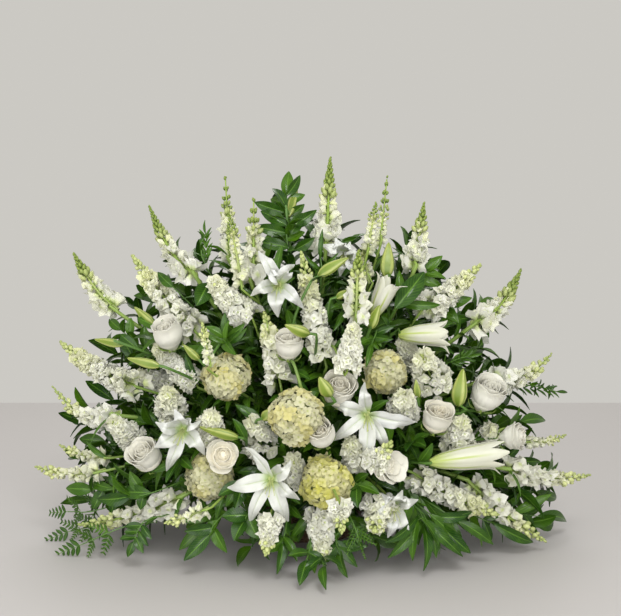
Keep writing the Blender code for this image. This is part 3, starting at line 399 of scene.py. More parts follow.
@dataclass(frozen=True)
class Star:
    """An open lily, with its petal tips as seen from the throat."""

    node: str
    place: Place
    scale: float
    bunch: str
    tips: tuple[Place, ...]

    def petals(self, throat: Vector) -> list[list[Vector]]:
        """The paths of the six petals.

        Args:
            throat: The middle of the lily.

        Returns:
            The points of each, from behind the throat to the tip.
        """
        paths = []
        for dx, dz in self.tips:
            flat = Vector((dx * MM, 0.0, dz * MM))
            lean = math.sqrt(max(LILY_PETAL ** 2 - flat.length_squared, 0.0))
            tip = throat + flat + Vector((0.0, -0.55 * lean + 0.012, 0.0))
            spoke = flat.normalized()
            back = throat + spoke * 0.004 + Vector((0.0, 0.014, -0.002))
            cup = throat + spoke * 0.016 + Vector((0.0, 0.004, 0.0))
            bulge = throat.lerp(tip, 0.55) + Vector((0.0, -0.014 - 0.10 * lean, 0.0))
            paths.append([back, cup, bulge, throat.lerp(tip, 0.82) + Vector((0.0, -0.010, 0.0)), tip])
        return paths

    def head(self, shift: float) -> Head:
        """The head, moved along the line of sight.

        Args:
            shift: How far it is moved away from the viewer.

        Returns:
            Its ends, or its seat and axis, and the balls that stand for it.
        """
        throat = on_dome(self.place, self.scale, 0.05, shift)
        balls = [(throat + Vector((0.0, 0.02, 0.0)), 0.018),
                 (throat + Vector((0.0, 0.056, -0.007)), COLLAR_ROOM)]
        for path in self.petals(throat):
            balls += [(path[2], 0.013), (path[3], 0.011), (path[4], 0.005),
                      (path[1].lerp(path[2], 0.5), 0.012)]
        return (throat, Vector((0.0, -1.0, 0.0))), balls

    def stalk(self, throat: Vector, _axis: Vector) -> Stalk:
        """Where its stem is led to, the way it points there, and its tip."""
        seat = throat + LILY_NECK
        return seat, Vector((0.0, -0.024, 0.003)).normalized(), seat


class Long(Wide):
    """A lily that isn't open, from its base to its mouth or tip."""

    def head(self, shift: float) -> Head:
        """The head, moved along the line of sight.

        Args:
            shift: How far it is moved away from the viewer.

        Returns:
            Its ends, or its seat and axis, and the balls that stand for it.
        """
        base = on_dome(self.low, self.low_scale, self.half, shift)
        tip = on_dome(self.high, self.high_scale, self.half, shift)
        shares, radii = self.girth()
        points = [base.lerp(tip, share) for share in shares] + [collar(base, tip)]
        return (base, tip), list(zip(points, radii + [COLLAR_ROOM]))

    def stalk(self, base: Vector, tip: Vector) -> Stalk:
        """Where its stem is led to, the way it points there, and its tip."""
        way = (tip - base).normalized()
        return base, way, base + way * 0.004


@dataclass(frozen=True)
class Trumpet(Long):
    """A half-open lily."""

    node: str
    low: Place
    high: Place
    width: float
    low_scale: float
    high_scale: float
    bunch: str

    def girth(self) -> tuple[Sequence[float], list[float]]:
        """The shares of its length at which its balls are, and their radii."""
        return [i / 5.0 for i in range(6)], [0.010] + [self.half * r for r in (0.5, 0.62, 0.72, 0.88, 1.0)]


@dataclass(frozen=True)
class Bud(Long):
    """A closed lily bud."""

    low: Place
    high: Place
    width: float
    high_scale: float
    bunch: str

    @property
    def low_scale(self) -> float:
        """The scale of the dome at its base, which is a little deeper than its tip."""
        return self.high_scale - 0.04

    def girth(self) -> tuple[Sequence[float], list[float]]:
        """The shares of its length at which its balls are, and their radii."""
        return (0.05, 0.3, 0.5, 0.7, 0.9), [self.half * r for r in (0.6, 1.0, 1.0, 0.9, 0.5)]


@dataclass(frozen=True)
class Spray:
    """A leafy spray."""

    bunch: str
    low: Place
    high: Place
    length: float
    width: float
    pairs: int
    low_scale: float
    high_scale: float
    kind: LeafKind

    def ends(self) -> tuple[Vector, Vector]:
        """The two ends of its twig."""
        return on_dome(self.low, self.low_scale, 0.012), on_dome(self.high, self.high_scale, 0.008)


SNAP, STOCK, BUDDED = SpikeKind
BROAD, LANCE, SPRIG, FERN = LeafKind

SPIKES = tuple(Spike(*row) for row in (
    ("snapdragon_top_centre", SNAP, (35, 665), (45, 875), 31, 0.90, 1.02),
    ("snapdragon_top_left", SNAP, (-182, 640), (-195, 835), 24, 0.88, 1.00),
    ("snapdragon_top_left", BUDDED, (-158, 585), (-186, 745), 20, 0.97, 1.06),
    ("snapdragon_top_left", SNAP, (-132, 590), (-130, 780), 27, 0.90, 1.00),
    ("snapdragon_upper_left", SNAP, (-270, 610), (-370, 765), 28, 0.90, 1.00),
    ("snapdragon_far_left", SNAP, (-450, 528), (-545, 655), 31, 0.92, 1.00),
    ("snapdragon_mid_left", STOCK, (-400, 345), (-580, 450), 34, 0.88, 1.00),
    ("snapdragon_mid_left", SNAP, (-455, 280), (-600, 345), 24, 0.90, 1.00),
    ("snapdragon_low_left", BUDDED, (-492, 145), (-645, 155), 22, 0.92, 1.00),
    ("snapdragon_low_left", BUDDED, (-475, 178), (-585, 205), 19, 0.86, 0.94),
    ("snapdragon_floor_left", SNAP, (-305, 85), (-545, 15), 30, 0.92, 1.00),
    ("snapdragon_floor_left", BUDDED, (-245, 55), (-340, 20), 19, 1.00, 1.06),
    ("snapdragon_top_right", BUDDED, (160, 680), (175, 830), 15, 0.90, 1.00),
    ("snapdragon_top_right", BUDDED, (130, 655), (150, 770), 17, 0.96, 1.02),
    ("snapdragon_upper_right", SNAP, (237, 620), (260, 770), 28, 0.90, 1.00),
    ("snapdragon_far_right", SNAP, (380, 495), (485, 618), 33, 0.90, 1.00),
    ("snapdragon_mid_right", SNAP, (425, 370), (560, 422), 28, 0.90, 1.00),
    ("snapdragon_mid_right", BUDDED, (500, 215), (595, 230), 16, 0.88, 0.96),
    ("snapdragon_low_right", SNAP, (460, 150), (655, 135), 27, 0.92, 1.00),
    ("snapdragon_floor_right", STOCK, (240, 140), (440, 40), 33, 0.94, 1.02),
    ("snapdragon_floor_right", SNAP, (375, 115), (555, -25), 30, 0.88, 1.02),
    ("snapdragon_centre", SNAP, (105, 500), (110, 660), 27, 0.92, 1.02),
    ("stock_upper_left", STOCK, (-262, 470), (-410, 650), 36, 0.88, 1.00),
    ("stock_upper_left", BUDDED, (-232, 395), (-250, 490), 16, 0.98, 1.02),
    ("stock_upper_left", STOCK, (-265, 350), (-360, 440), 28, 0.86, 0.96),
    ("stock_upper_right", STOCK, (260, 520), (390, 628), 34, 0.88, 1.00),
    ("stock_upper_right", STOCK, (240, 405), (212, 455), 26, 0.86, 0.96),
    ("stock_centre", STOCK, (33, 405), (-20, 655), 35, 0.88, 1.00),
    ("stock_centre", STOCK, (85, 385), (100, 485), 27, 0.94, 1.00),
    ("stock_centre", BUDDED, (135, 590), (120, 675), 18, 0.92, 0.97),
    ("stock_centre_left", STOCK, (-70, 350), (-105, 515), 35, 0.90, 1.00),
    ("stock_centre_left", STOCK, (-140, 500), (-225, 590), 35, 0.90, 1.00),
    ("stock_right", STOCK, (290, 345), (262, 415), 44, 0.86, 1.00),
    ("stock_right", STOCK, (212, 285), (218, 320), 38, 0.84, 1.00),
    ("stock_low_right", STOCK, (335, 205), (352, 265), 42, 0.86, 1.00),
    ("stock_low_right", STOCK, (408, 212), (420, 245), 32, 0.86, 0.98),
    ("stock_left", STOCK, (-240, 235), (-230, 275), 34, 0.86, 0.97),
    ("stock_left", STOCK, (-325, 290), (-332, 330), 38, 0.84, 0.98),
    ("stock_left", STOCK, (-340, 350), (-400, 375), 28, 0.84, 0.95),
    ("stock_left", STOCK, (-415, 225), (-460, 262), 30, 0.84, 0.97),
    ("stock_front_left", STOCK, (-112, 200), (-135, 262), 42, 0.86, 1.00),
    ("stock_front_left", STOCK, (-32, 118), (-42, 175), 32, 0.88, 0.98),
    ("stock_front_right", STOCK, (108, 172), (96, 212), 34, 0.86, 0.98),
    ("stock_front_right", STOCK, (150, 160), (188, 212), 28, 0.92, 1.00),
    ("stock_front_right", STOCK, (170, 78), (152, 5), 42, 0.90, 1.02),
    ("stock_front", STOCK, (22, 45), (32, -70), 33, 0.92, 1.04),
    ("stock_front", STOCK, (-92, 35), (-105, -55), 26, 0.94, 1.04),
    ("stock_front", STOCK, (66, 62), (74, -2), 24, 0.98, 1.06),
))

ROSES = tuple(Rose(*row) for row in (
    ("rose_upper_left", (-330, 465), 74, 0.97, -12, 35, "left_high", 0.38, 0.10, (-32, 70)),
    ("rose_low_left", (-385, 180), 80, 0.99, -10, 20, "left_low", 0.50, 0.15, (-40, 60)),
    ("rose_centre", (65, 335), 80, 0.99, 10, 30, "front_right", 0.50, 0.30, (12, 64)),
    ("rose_lower_centre", (25, 230), 66, 0.99, -5, 0, "front_right", 0.36, 0.40, (-26, 54)),
    ("rose_right", (295, 270), 76, 0.99, 25, 20, "right_low", 0.48, 0.45, (28, 74)),
    ("rose_front_left", (-205, 180), 72, 1.01, -10, 5, "front_left", 0.80, 0.40, (14, 26)),
    ("rose_front_right", (190, 155), 72, 1.00, 15, 15, "front_right", 0.95, 0.15, (45, 15)),
    ("rose_upper_centre", (-50, 440), 68, 1.00, -5, 75, "top", 0.42, 0.20, (-4, 80)),
    ("rose_far_right", (410, 325), 84, 0.98, 40, 55, "right_high", 0.42, 0.05, (44, 70)),
    ("rose_low_far_right", (475, 225), 68, 1.00, 80, 5, "right_low", 0.60, 0.05, (82, 10)),
))

HYDRANGEAS = tuple(Round(*row) for row in (
    ("hydrangea_upper_left", (-195, 365), 112, 0.90, -15, 25, "left_high"),
    ("hydrangea_centre", (-30, 275), 126, 0.92, 0, 15, "front_left"),
    ("hydrangea_front", (38, 118), 120, 0.94, 0, 0, "front_right"),
    ("hydrangea_upper_right", (175, 380), 104, 0.92, 15, 30, "right_high"),
    ("hydrangea_low_left", (-235, 130), 118, 0.92, -20, 5, "front_left"),
))

STARS = tuple(Star(*row) for row in (
    ("lily_upper", (-75, 583), 1.02, "top",
     ((-42, 77), (35, 51), (-58, -16), (0, -62), (54, -44), (-12, 40))),
    ("lily_centre", (133, 278), 1.04, "right_high",
     ((-5, 75), (-75, 26), (-72, -54), (-7, -98), (42, -80), (103, -12))),
    ("lily_front", (-92, 122), 1.05, "front_left",
     ((-54, 68), (-92, -16), (-44, -96), (34, -88), (58, -35), (40, 48))),
    ("lily_left", (-300, 240), 1.04, "left_low",
     ((-55, 25), (-15, 52), (-38, -85), (46, -45), (40, 30), (-58, -30))),
    ("lily_back", (78, 650), 0.92, "top",
     ((-50, 28), (-20, 42), (12, 36), (28, -30), (-10, -38), (34, 8))),
    ("lily_low_front", (195, 60), 1.06, "front_right",
     ((52, 22), (30, -60), (-12, -62), (-40, -14), (-26, 36), (18, 42))),
))

TRUMPETS = tuple(Trumpet(*row) for row in (
    ("lily_bud_open_right", (205, 466), (318, 468), 56, 0.92, 1.02, "right_high"),
    ("lily_bud_open_low", (280, 165), (448, 186), 62, 0.96, 1.04, "right_low"),
    ("lily_closed_upper", (145, 508), (182, 590), 52, 0.94, 1.02, "right_high"),
))

BUDS = tuple(Bud(*row) for row in (
    ((-50, 740), (-30, 812), 20, 0.94, "top"),
    ((18, 603), (88, 646), 24, 1.03, "top"),
    ((175, 598), (180, 682), 28, 1.06, "right_high"),
    ((-360, 488), (-408, 532), 22, 1.00, "left_high"),
    ((-435, 443), (-502, 456), 18, 1.00, "left_high"),
    ((-350, 393), (-427, 412), 20, 1.03, "left_high"),
    ((-258, 408), (-296, 444), 17, 1.03, "left_high"),
    ((-2, 468), (-60, 490), 24, 1.05, "top"),
    ((138, 480), (160, 536), 24, 1.04, "right_high"),
    ((345, 298), (355, 388), 32, 1.02, "right_high"),
    ((-168, 224), (-262, 250), 22, 1.04, "left_low"),
    ((-112, 268), (-80, 292), 22, 1.02, "front_left"),
    ((60, 552), (96, 571), 16, 1.02, "top"),
    ((48, 322), (20, 368), 28, 1.06, "front_right"),
    ((250, 318), (245, 362), 15, 1.02, "right_high"),
))

SPRAYS = tuple(Spray(*row) for row in (
    ("top", (-52, 660), (-56, 842), 62, 25, 4, 0.84, 0.98, BROAD),
    ("left_high", (-238, 620), (-242, 735), 34, 15, 3, 0.86, 0.96, SPRIG),
    ("left_high", (-285, 600), (-345, 655), 34, 15, 2, 0.72, 0.84, SPRIG),
    ("left_high", (-320, 515), (-400, 575), 62, 26, 1, 0.74, 0.90, BROAD),
    ("left_high", (-360, 420), (-470, 500), 48, 20, 2, 0.80, 0.92, BROAD),
    ("left_low", (-430, 205), (-545, 225), 74, 26, 1, 0.72, 0.84, BROAD),
    ("left_low", (-420, 110), (-585, 92), 80, 26, 2, 0.86, 1.00, BROAD),
    ("left_low", (-350, 100), (-505, 66), 80, 28, 1, 0.94, 1.02, BROAD),
    ("left_low", (-470, 60), (-605, 42), 46, 17, 2, 0.86, 0.98, FERN),
    ("left_low", (-490, 25), (-612, -15), 46, 17, 2, 0.82, 0.96, FERN),
    ("left_low", (-440, 10), (-580, -50), 46, 17, 2, 0.94, 1.02, FERN),
    ("left_low", (-390, 25), (-438, -65), 38, 15, 3, 0.98, 1.05, BROAD),
    ("front_left", (-215, 30), (-285, -90), 78, 26, 1, 0.96, 1.06, BROAD),
    ("front_left", (-140, 50), (-185, -30), 54, 30, 1, 0.96, 1.04, BROAD),
    ("front_left", (-60, 0), (-80, -105), 66, 22, 1, 0.94, 1.04, LANCE),
    ("front_right", (0, -30), (-25, -135), 66, 22, 1, 0.96, 1.04, BROAD),
    ("front_right", (25, -40), (40, -145), 70, 23, 1, 0.96, 1.04, LANCE),
    ("front_right", (60, -20), (92, -112), 60, 22, 1, 0.94, 1.02, BROAD),
    ("front_right", (100, 20), (125, -58), 32, 12, 3, 0.98, 1.04, FERN),
    ("right_low", (255, 50), (240, -70), 92, 26, 1, 0.98, 1.05, LANCE),
    ("right_low", (262, 45), (276, -103), 110, 28, 1, 0.96, 1.05, LANCE),
    ("right_low", (275, 45), (378, -58), 112, 30, 1, 0.96, 1.04, LANCE),
    ("right_low", (300, 55), (445, -38), 108, 28, 1, 0.90, 0.99, LANCE),
    ("right_low", (380, 40), (528, -22), 108, 30, 1, 0.84, 0.96, LANCE),
    ("right_low", (400, 60), (618, 20), 120, 32, 2, 0.82, 0.96, LANCE),
    ("right_low", (430, 110), (580, 85), 96, 28, 1, 0.82, 0.92, LANCE),
    ("right_low", (430, 180), (545, 160), 80, 24, 1, 0.80, 0.90, LANCE),
    ("right_high", (460, 345), (600, 330), 38, 15, 3, 0.86, 0.98, SPRIG),
    ("right_high", (320, 400), (402, 425), 34, 14, 3, 0.82, 0.92, SPRIG),
    ("right_high", (200, 530), (268, 605), 78, 24, 1, 0.90, 0.98, LANCE),
    ("right_high", (240, 590), (305, 655), 54, 20, 2, 0.84, 0.94, BROAD),
    ("right_high", (280, 520), (375, 560), 62, 22, 2, 0.82, 0.94, BROAD),
    ("right_high", (150, 470), (125, 392), 60, 16, 2, 0.94, 1.02, LANCE),
    ("top", (24, 590), (22, 712), 64, 13, 1, 0.90, 1.00, LANCE),
    ("top", (90, 560), (60, 480), 56, 16, 1, 0.90, 0.98, LANCE),
    ("top", (-110, 560), (-100, 700), 58, 22, 2, 0.80, 0.90, BROAD),
    ("left_high", (-190, 440), (-205, 520), 54, 17, 2, 0.92, 1.00, BROAD),
    ("left_low", (-300, 180), (-330, 130), 60, 22, 1, 0.90, 1.00, BROAD),
    ("front_left", (-160, 120), (-170, 60), 56, 24, 1, 0.92, 1.00, BROAD),
    ("front_right", (108, 115), (115, 75), 50, 24, 1, 0.96, 1.04, BROAD),
    ("right_low", (240, 215), (262, 205), 52, 22, 1, 0.90, 1.00, BROAD),
))

# Single large leaves of the scene: bunch, foot, tip, width and scale on the dome.
LEAVES = (
    ("right_high", (197, 529), (262, 612), 42, 0.96), ("right_high", (288, 512), (344, 557), 26, 0.92),
    ("right_high", (288, 496), (377, 507), 24, 0.95), ("right_high", (252, 629), (297, 643), 20, 0.92),
    ("right_high", (145, 463), (192, 456), 17, 1.00), ("right_high", (145, 460), (149, 392), 18, 1.01),
    ("right_high", (147, 468), (196, 487), 15, 0.99), ("top", (75, 682), (118, 692), 18, 0.88),
    ("left_high", (-236, 585), (-264, 534), 38, 0.97), ("left_high", (-307, 501), (-374, 527), 22, 0.95),
    ("left_high", (-330, 550), (-393, 560), 26, 0.93), ("left_high", (-318, 578), (-352, 612), 22, 0.90),
    ("top", (-62, 751), (-128, 773), 27, 0.92), ("top", (-56, 720), (-114, 752), 30, 0.90),
    ("top", (-54, 702), (-128, 718), 27, 0.88), ("top", (-51, 669), (-122, 682), 28, 0.86),
    ("top", (-40, 718), (14, 755), 27, 0.89), ("top", (-44, 700), (-18, 748), 30, 0.88),
    ("top", (-36, 664), (10, 692), 24, 0.86), ("top", (-54, 790), (-24, 834), 24, 0.94),
)

# Heads that stand out before their neighbours, by node or lower place: millimetres to the viewer.
AHEAD = {"stock_front": 28.0, "stock_front_left": 20.0, "stock_front_right": 16.0, "stock_right": 20.0,
         "stock_low_right": 14.0, "stock_left": 16.0, "rose_lower_centre": 80.0, "rose_centre": 36.0,
         "rose_front_right": 60.0, "lily_low_front": -38.0, (170, 78): 48.0,
         (150, 160): -22.0, (-240, 235): 32.0, "snapdragon_floor_left": 14.0, "snapdragon_low_left": 10.0}

# Tips, by their places, whose little buds stand in whorls with the stalk between them.
LOOSE_TIPS = ((-195, 835), (-130, 780), (175, 830))

# Spikes, by their tips, that are in flower only up to a share of their length and in bud beyond.
BUD_FROM = {(-105, -55): 0.68, (74, -2): 0.45, (188, 212): 0.52, (152, 5): 0.82, (175, 830): 0.45,
            (32, -70): 0.84}

# The bright stalk under the upper rose: places and scales on the dome.
ROSE_STALK = (((-38, 396), 1.03), ((-20, 336), 1.03), ((-10, 300), 0.86))

# Sprays at the back: azimuth in degrees, height, reach from the axis, leaf length, width, pairs.
BACK_SPRAYS = (
    (22, 160, 500, 96, 36, 1), (55, 90, 400, 104, 38, 1), (90, 240, 350, 96, 38, 2),
    (125, 100, 400, 104, 38, 1), (158, 150, 490, 96, 36, 1), (62, 480, 270, 84, 34, 2),
    (90, 640, 180, 78, 30, 2), (120, 520, 260, 84, 34, 2),
)
BUNCHES = ("left_low", "left_high", "top", "right_high", "right_low", "front_left", "front_right")


def settle(make: Callable[[float], Head], taken: list[list[Ball]]) -> Any:
    """Place a bloom where it has room.

    The bloom moves along the line of sight in steps of 10 mm, forward and back in turn, until
    its balls are clear of those already taken.

    Args:
        make: Gives the bloom for a shift.
        taken: The balls of the blooms placed before; the new ones are added.

    Returns:
        The ends of the bloom.
    """
    best: Optional[tuple[float, Head]] = None
    for step in range(19):
        for side in (1.0, -1.0):
            made = make(side * step * 0.010)
            room = min([(a[0] - b[0]).length - a[1] - b[1]
                        for other in taken for a in made[1] for b in other], default=1.0)
            if best is None or room > best[0]:
                best = (room, made)
            if room > 0.0:
                taken.append(made[1])
                return made[0]
    taken.append(best[1][1])
    return best[1][0]


class Plan:
    """Where every bloom sits and in which direction each node leaves the foam."""

    def __init__(self) -> None:
        """Place the blooms in the frame's order and share out the stem directions."""
        self.taken: list[list[Ball]] = []
        self.ways: dict[str, Vector] = {}
        self.ends = {entry: settle(entry.head, self.taken)
                     for entry in STARS + TRUMPETS + ROSES + HYDRANGEAS + BUDS + SPIKES}
        self._share_out()
        self._bring_forward()
        balls = [ball for one in self.taken for ball in one]
        self.centres = arr([ball[0] for ball in balls])
        self.radii = np.array([ball[1] for ball in balls])

    def _bring_forward(self) -> None:
        """Move the heads named in AHEAD along their lines of sight."""
        for i, (entry, ends) in enumerate(self.ends.items()):
            far = AHEAD.get(getattr(entry, "low", ""), AHEAD.get(getattr(entry, "node", ""), 0.0)) * MM
            if far:
                moved = [end + (EYE - end).normalized() * far for end in ends]
                self.ends[entry] = (moved[0], ends[1] if isinstance(entry, (Round, Star)) else moved[1])
                self.taken[i] = [(c + (EYE - c).normalized() * far, r) for c, r in self.taken[i]]

    def seats(self, bunch: str) -> list[Stalk]:
        """The ends that a bunch's stems run to, the way each bloom points, and the stem's tip."""
        return [entry.stalk(*self.ends[entry]) for entry in ROSES + HYDRANGEAS + STARS + TRUMPETS + BUDS
                if entry.bunch == bunch]

    def _share_out(self) -> None:
        """Give each node its own direction out of the foam, the nearest free one to its blooms."""
        spots: dict[str, list[Vector]] = {}
        for entry in SPIKES:
            spots.setdefault(entry.node, []).append(self.ends[entry][0])
        for name in BUNCHES:
            spots["foliage_" + name] = [seat[0] for seat in self.seats(name)]
        spots["foliage_back"] = [Vector((0.0, 0.35, 0.30))]
        for node, many in spots.items():
            self.ways[node] = self._free_direction(self._stub_direction(sum(many, Vector()) / len(many)))

    @staticmethod
    def _stub_direction(target: Vector) -> Vector:
        """The way in which a stem leaves the foam: towards its bloom, never under the rim.

        Args:
            target: The middle of the blooms that it leads to.

        Returns:
            The direction.
        """
        away = target - HUB
        rise = max(math.atan2(away.z, math.hypot(away.x, away.y)), LOWEST_AIM)
        share = (rise - LOWEST_AIM) / (math.pi / 2.0 - LOWEST_AIM)
        return heading(math.atan2(away.y, away.x), LOWEST_STUB + share * (math.pi / 2.0 - LOWEST_STUB))

    def _free_direction(self, wish: Vector) -> Vector:
        """The direction nearest to the wish that keeps its distance from those taken.

        Args:
            wish: The direction that is wanted.

        Returns:
            The direction, or the wish itself where none is free.
        """
        rise = math.asin(wish.z)
        turn = math.atan2(wish.y, wish.x)
        options = []
        for up in range(-8, 9):
            for aside in range(-16, 17):
                high = rise + up * STUB_STEP
                if LOWEST_STUB * 0.9 <= high <= STEEPEST_STUB:
                    way = heading(turn + aside * STUB_STEP, high)
                    options.append((wish.angle(way), way))
        options.sort(key=lambda option: option[0])
        return next((way for _turned, way in options
                     if all(way.angle(other) > STUB_APART for other in self.ways.values())), wish)

    def hides(self, points: Array, share: float) -> Array:
        """Which leaves would stand before a bloom for the viewer.

        A point does where it is nearer than the bloom's ball, and the angle between the two
        lines of sight is under the ball's own: cos(angle) > 1 - (radius / distance)^2 / 2.

        Args:
            points: Points along each leaf, (k, m, 3).
            share: The share of the ball's radius that counts.

        Returns:
            One truth value for each leaf.
        """
        eye = arr(EYE)
        far = np.linalg.norm(self.centres - eye, axis=1)
        near = np.linalg.norm(points - eye, axis=2)
        cosine = unit(points - eye) @ unit(self.centres - eye).T
        covers = (cosine > 1.0 - (self.radii * share / far) ** 2 / 2.0) & (near[..., None] < far)
        return covers.any(axis=(1, 2))

    def clear(self, points: Array, room: float = 0.9) -> Array:
        """Which leaves keep out of every bloom, of the basket and of the floor.

        Args:
            points: Points along each leaf, (k, m, 3).
            room: The share of each bloom's ball that must stay free.

        Returns:
            One truth value for each leaf.
        """
        away = np.linalg.norm(points[:, :, None, :] - self.centres, axis=3) - self.radii * room
        free = (away.min(axis=(1, 2)) > 0.0) & ~self.hides(points, 0.85)
        level = np.hypot(points[..., 0], points[..., 1])
        basket = ((level < RIM_RADIUS + 0.012) & (points[..., 2] < RIM_HEIGHT + 0.01)).any(axis=1)
        low = points[..., 2].min(axis=1) < 0.006
        share = (points - arr(DOME_CENTRE)) / arr(DOME_AXES)
        outside = (np.linalg.norm(share, axis=2) > 1.0).any(axis=1)
        return free & ~basket & ~low & ~outside


class Solids:
    """The frame's solids as search trees, which tell the stems and leaves that they hold."""

    def __init__(self) -> None:
        """Start with no tree; each is made when it is first asked for."""
        self._trees: dict[str, BVHTree] = {}

    def near(self, node: str, point: Vector, reach: float) -> bool:
        """Whether the surface of a node passes within reach of a point."""
        if node not in self._trees:
            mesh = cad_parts[node].data
            self._trees[node] = BVHTree.FromPolygons([v.co.copy() for v in mesh.vertices],
                                                     [tuple(p.vertices) for p in mesh.polygons])
        return self._trees[node].find_nearest(point, reach)[0] is not None

    def route(self, node: str, start: Vector, end: Vector) -> list[Vector]:
        """The stem path between two points that a node holds.

        Args:
            node: The node that holds the stem.
            start: Where the stem starts.
            end: Where it ends.

        Returns:
            The points of the path, which is straight or has one bend.
        """
        for path in self.routes(start, end):
            marks = [a.lerp(b, share) for a, b in zip(path, path[1:]) for share in (0.3, 0.6, 0.9)]
            if all(self.near(node, mark, STEM_RADIUS * 1.5) for mark in marks):
                return path
        return [start, end]

    @staticmethod
    def routes(start: Vector, end: Vector,
               reaches: Sequence[float] = (0.010, 0.020, 0.032, 0.046, 0.062, 0.080, 0.100, 0.125),
               shares: Sequence[float] = (0.5, 0.72, 0.3)) -> Iterator[list[Vector]]:
        """Stem paths to try: the straight one, then bends by each reach at each share of the way.

        Args:
            start: Where the stem starts.
            end: Where it ends.
            reaches: How far the bends stand out.
            shares: The shares of the way at which they are.

        Yields:
            The points of a path.
        """
        along = (end - start).normalized()
        side = along.orthogonal().normalized()
        up = along.cross(side)
        yield [start, end]
        for reach in reaches:
            for share in shares:
                for angle in turns(8):
                    bend = (side * math.cos(angle) + up * math.sin(angle)) * reach
                    yield [start, start.lerp(end, share) + bend, end]


# Meshes.

class Pile:
    """Closed surfaces gathered for one piece, with a pattern place and a tone for each point."""

    def __init__(self) -> None:
        """Start empty."""
        self._points: list[Array] = []
        self._marks: list[Array] = []
        self._quads: list[NDArray[np.int64]] = []
        self._tris: list[NDArray[np.int64]] = []
        self._count = 0

    def _add(self, points: Array, marks: Array, quads: Array, tris: Optional[Array] = None) -> None:
        """Add equal surfaces at once, turned so that the first encloses a positive volume.

        Args:
            points: The points of each, (k, n, 3).
            marks: Place along, place across and tone of each point, (k, n, 3).
            quads: Four-sided faces of one of them, (q, 4).
            tris: Three-sided faces of one of them, (t, 3).
        """
        tris = np.zeros((0, 3), int) if tris is None else tris
        halves = np.concatenate([quads[:, :3], quads[:, [0, 2, 3]], tris])
        corner = points[0][halves] - points[0].mean(axis=0)
        if np.einsum("fi,fi->", corner[:, 0], np.cross(corner[:, 1], corner[:, 2])) < 0.0:
            quads, tris = quads[:, ::-1], tris[:, ::-1]
        offsets = (self._count + np.arange(len(points)) * points.shape[1])[:, None, None]
        self._points.append(points.reshape(-1, 3))
        self._marks.append(marks.reshape(-1, 3))
        self._quads.append((quads[None] + offsets).reshape(-1, 4))
        self._tris.append((tris[None] + offsets).reshape(-1, 3))
        self._count += points.shape[0] * points.shape[1]

    @staticmethod
    def _band(cell: Array) -> Array:
        """Four-sided faces between rows of points that each close round, (rows, n)."""
        near = np.roll(cell, -1, axis=1)
        return np.stack([cell[:-1].ravel(), near[:-1].ravel(), near[1:].ravel(), cell[1:].ravel()], 1)

    def sheets(self, grids: Array, thick: float, tone: Array) -> None:
        """Thin closed shells over grids of points.

        The grid is moved by half the thickness to either side along its normal, which is the
        cross product of its two directions, and the two skins are joined round the rim.

        Args:
            grids: The middle surfaces, (k, m, n, 3).
            thick: The thickness.
            tone: The tone of each sheet, (k,).
        """
        k, m, n = grids.shape[:3]
        total = m * n
        normal = unit(np.cross(np.gradient(grids, axis=1), np.gradient(grids, axis=2)))
        skins = [(grids + normal * side).reshape(k, total, 3) for side in (thick / 2.0, -thick / 2.0)]
        cell = np.arange(total).reshape(m, n)
        a, b = cell[:-1, :-1].ravel(), cell[1:, :-1].ravel()
        c, d = cell[1:, 1:].ravel(), cell[:-1, 1:].ravel()
        rim = np.concatenate([cell[:, 0], cell[-1, 1:], cell[-2::-1, -1], cell[0, -2:0:-1]])
        quads = np.concatenate([np.stack([a, b, c, d], 1), np.stack([a, d, c, b], 1) + total,
                                self._band(np.stack([rim, rim + total]))[:, [1, 0, 3, 2]]])
        marks = np.zeros((k, 2, m, n, 3))
        marks[..., 0] = np.linspace(0.0, 1.0, m)[:, None]
        marks[..., 1] = np.linspace(-1.0, 1.0, n)
        marks[..., 2] = tone[:, None, None, None]
        self._add(np.concatenate(skins, axis=1), marks.reshape(k, 2 * total, 3), quads)

    def rounds(self, rings: Array, first: Array, last: Array, tone: Array,
               across: Array | float = 0.0, along: Optional[Array] = None) -> None:
        """Closed surfaces over stacked rings, with a pole at each end.

        Args:
            rings: The rings, (k, m, n, 3).
            first: The pole before the first ring, (k, 3).
            last: The pole after the last ring, (k, 3).
            tone: The tone of each surface, (k,).
            across: The pattern value round a ring, (n,), or nought.
            along: The pattern value of each ring and the two poles, (m + 2,), or even steps.
        """
        k, m, n = rings.shape[:3]
        total = m * n
        points = np.concatenate([rings.reshape(k, total, 3), first[:, None], last[:, None]], axis=1)
        cell = np.arange(total).reshape(m, n)
        near = np.roll(cell, -1, axis=1)
        tris = np.concatenate([np.stack([np.full(n, total), near[0], cell[0]], 1),
                               np.stack([np.full(n, total + 1), cell[-1], near[-1]], 1)])
        steps = np.linspace(0.0, 1.0, m + 2) if along is None else along
        marks = np.zeros((k, total + 2, 3))
        marks[:, :, 0] = np.concatenate([np.repeat(steps[1:-1], n), steps[[0, -1]]])
        marks[:, :-2, 1] = np.tile(np.broadcast_to(across, n), m)
        marks[:, :, 2] = tone[:, None]
        self._add(points, marks, self._band(cell), tris)

    def loops(self, rings: Array, tone: Array) -> None:
        """Closed hoops: rings of points that themselves stand in a ring.

        Args:
            rings: The rings, (k, m, n, 3).
            tone: The tone of each hoop, (k,).
        """
        k, m, n = rings.shape[:3]
        cell = np.arange(m * n).reshape(m, n)
        marks = np.zeros((k, m, n, 3))
        marks[..., 0] = (np.arange(m) / m)[:, None]
        marks[..., 1] = np.cos(turns(n))
        marks[..., 2] = tone[:, None, None]
        quads = self._band(np.vstack([cell, cell[:1]]))
        self._add(rings.reshape(k, m * n, 3), marks.reshape(k, m * n, 3), quads)

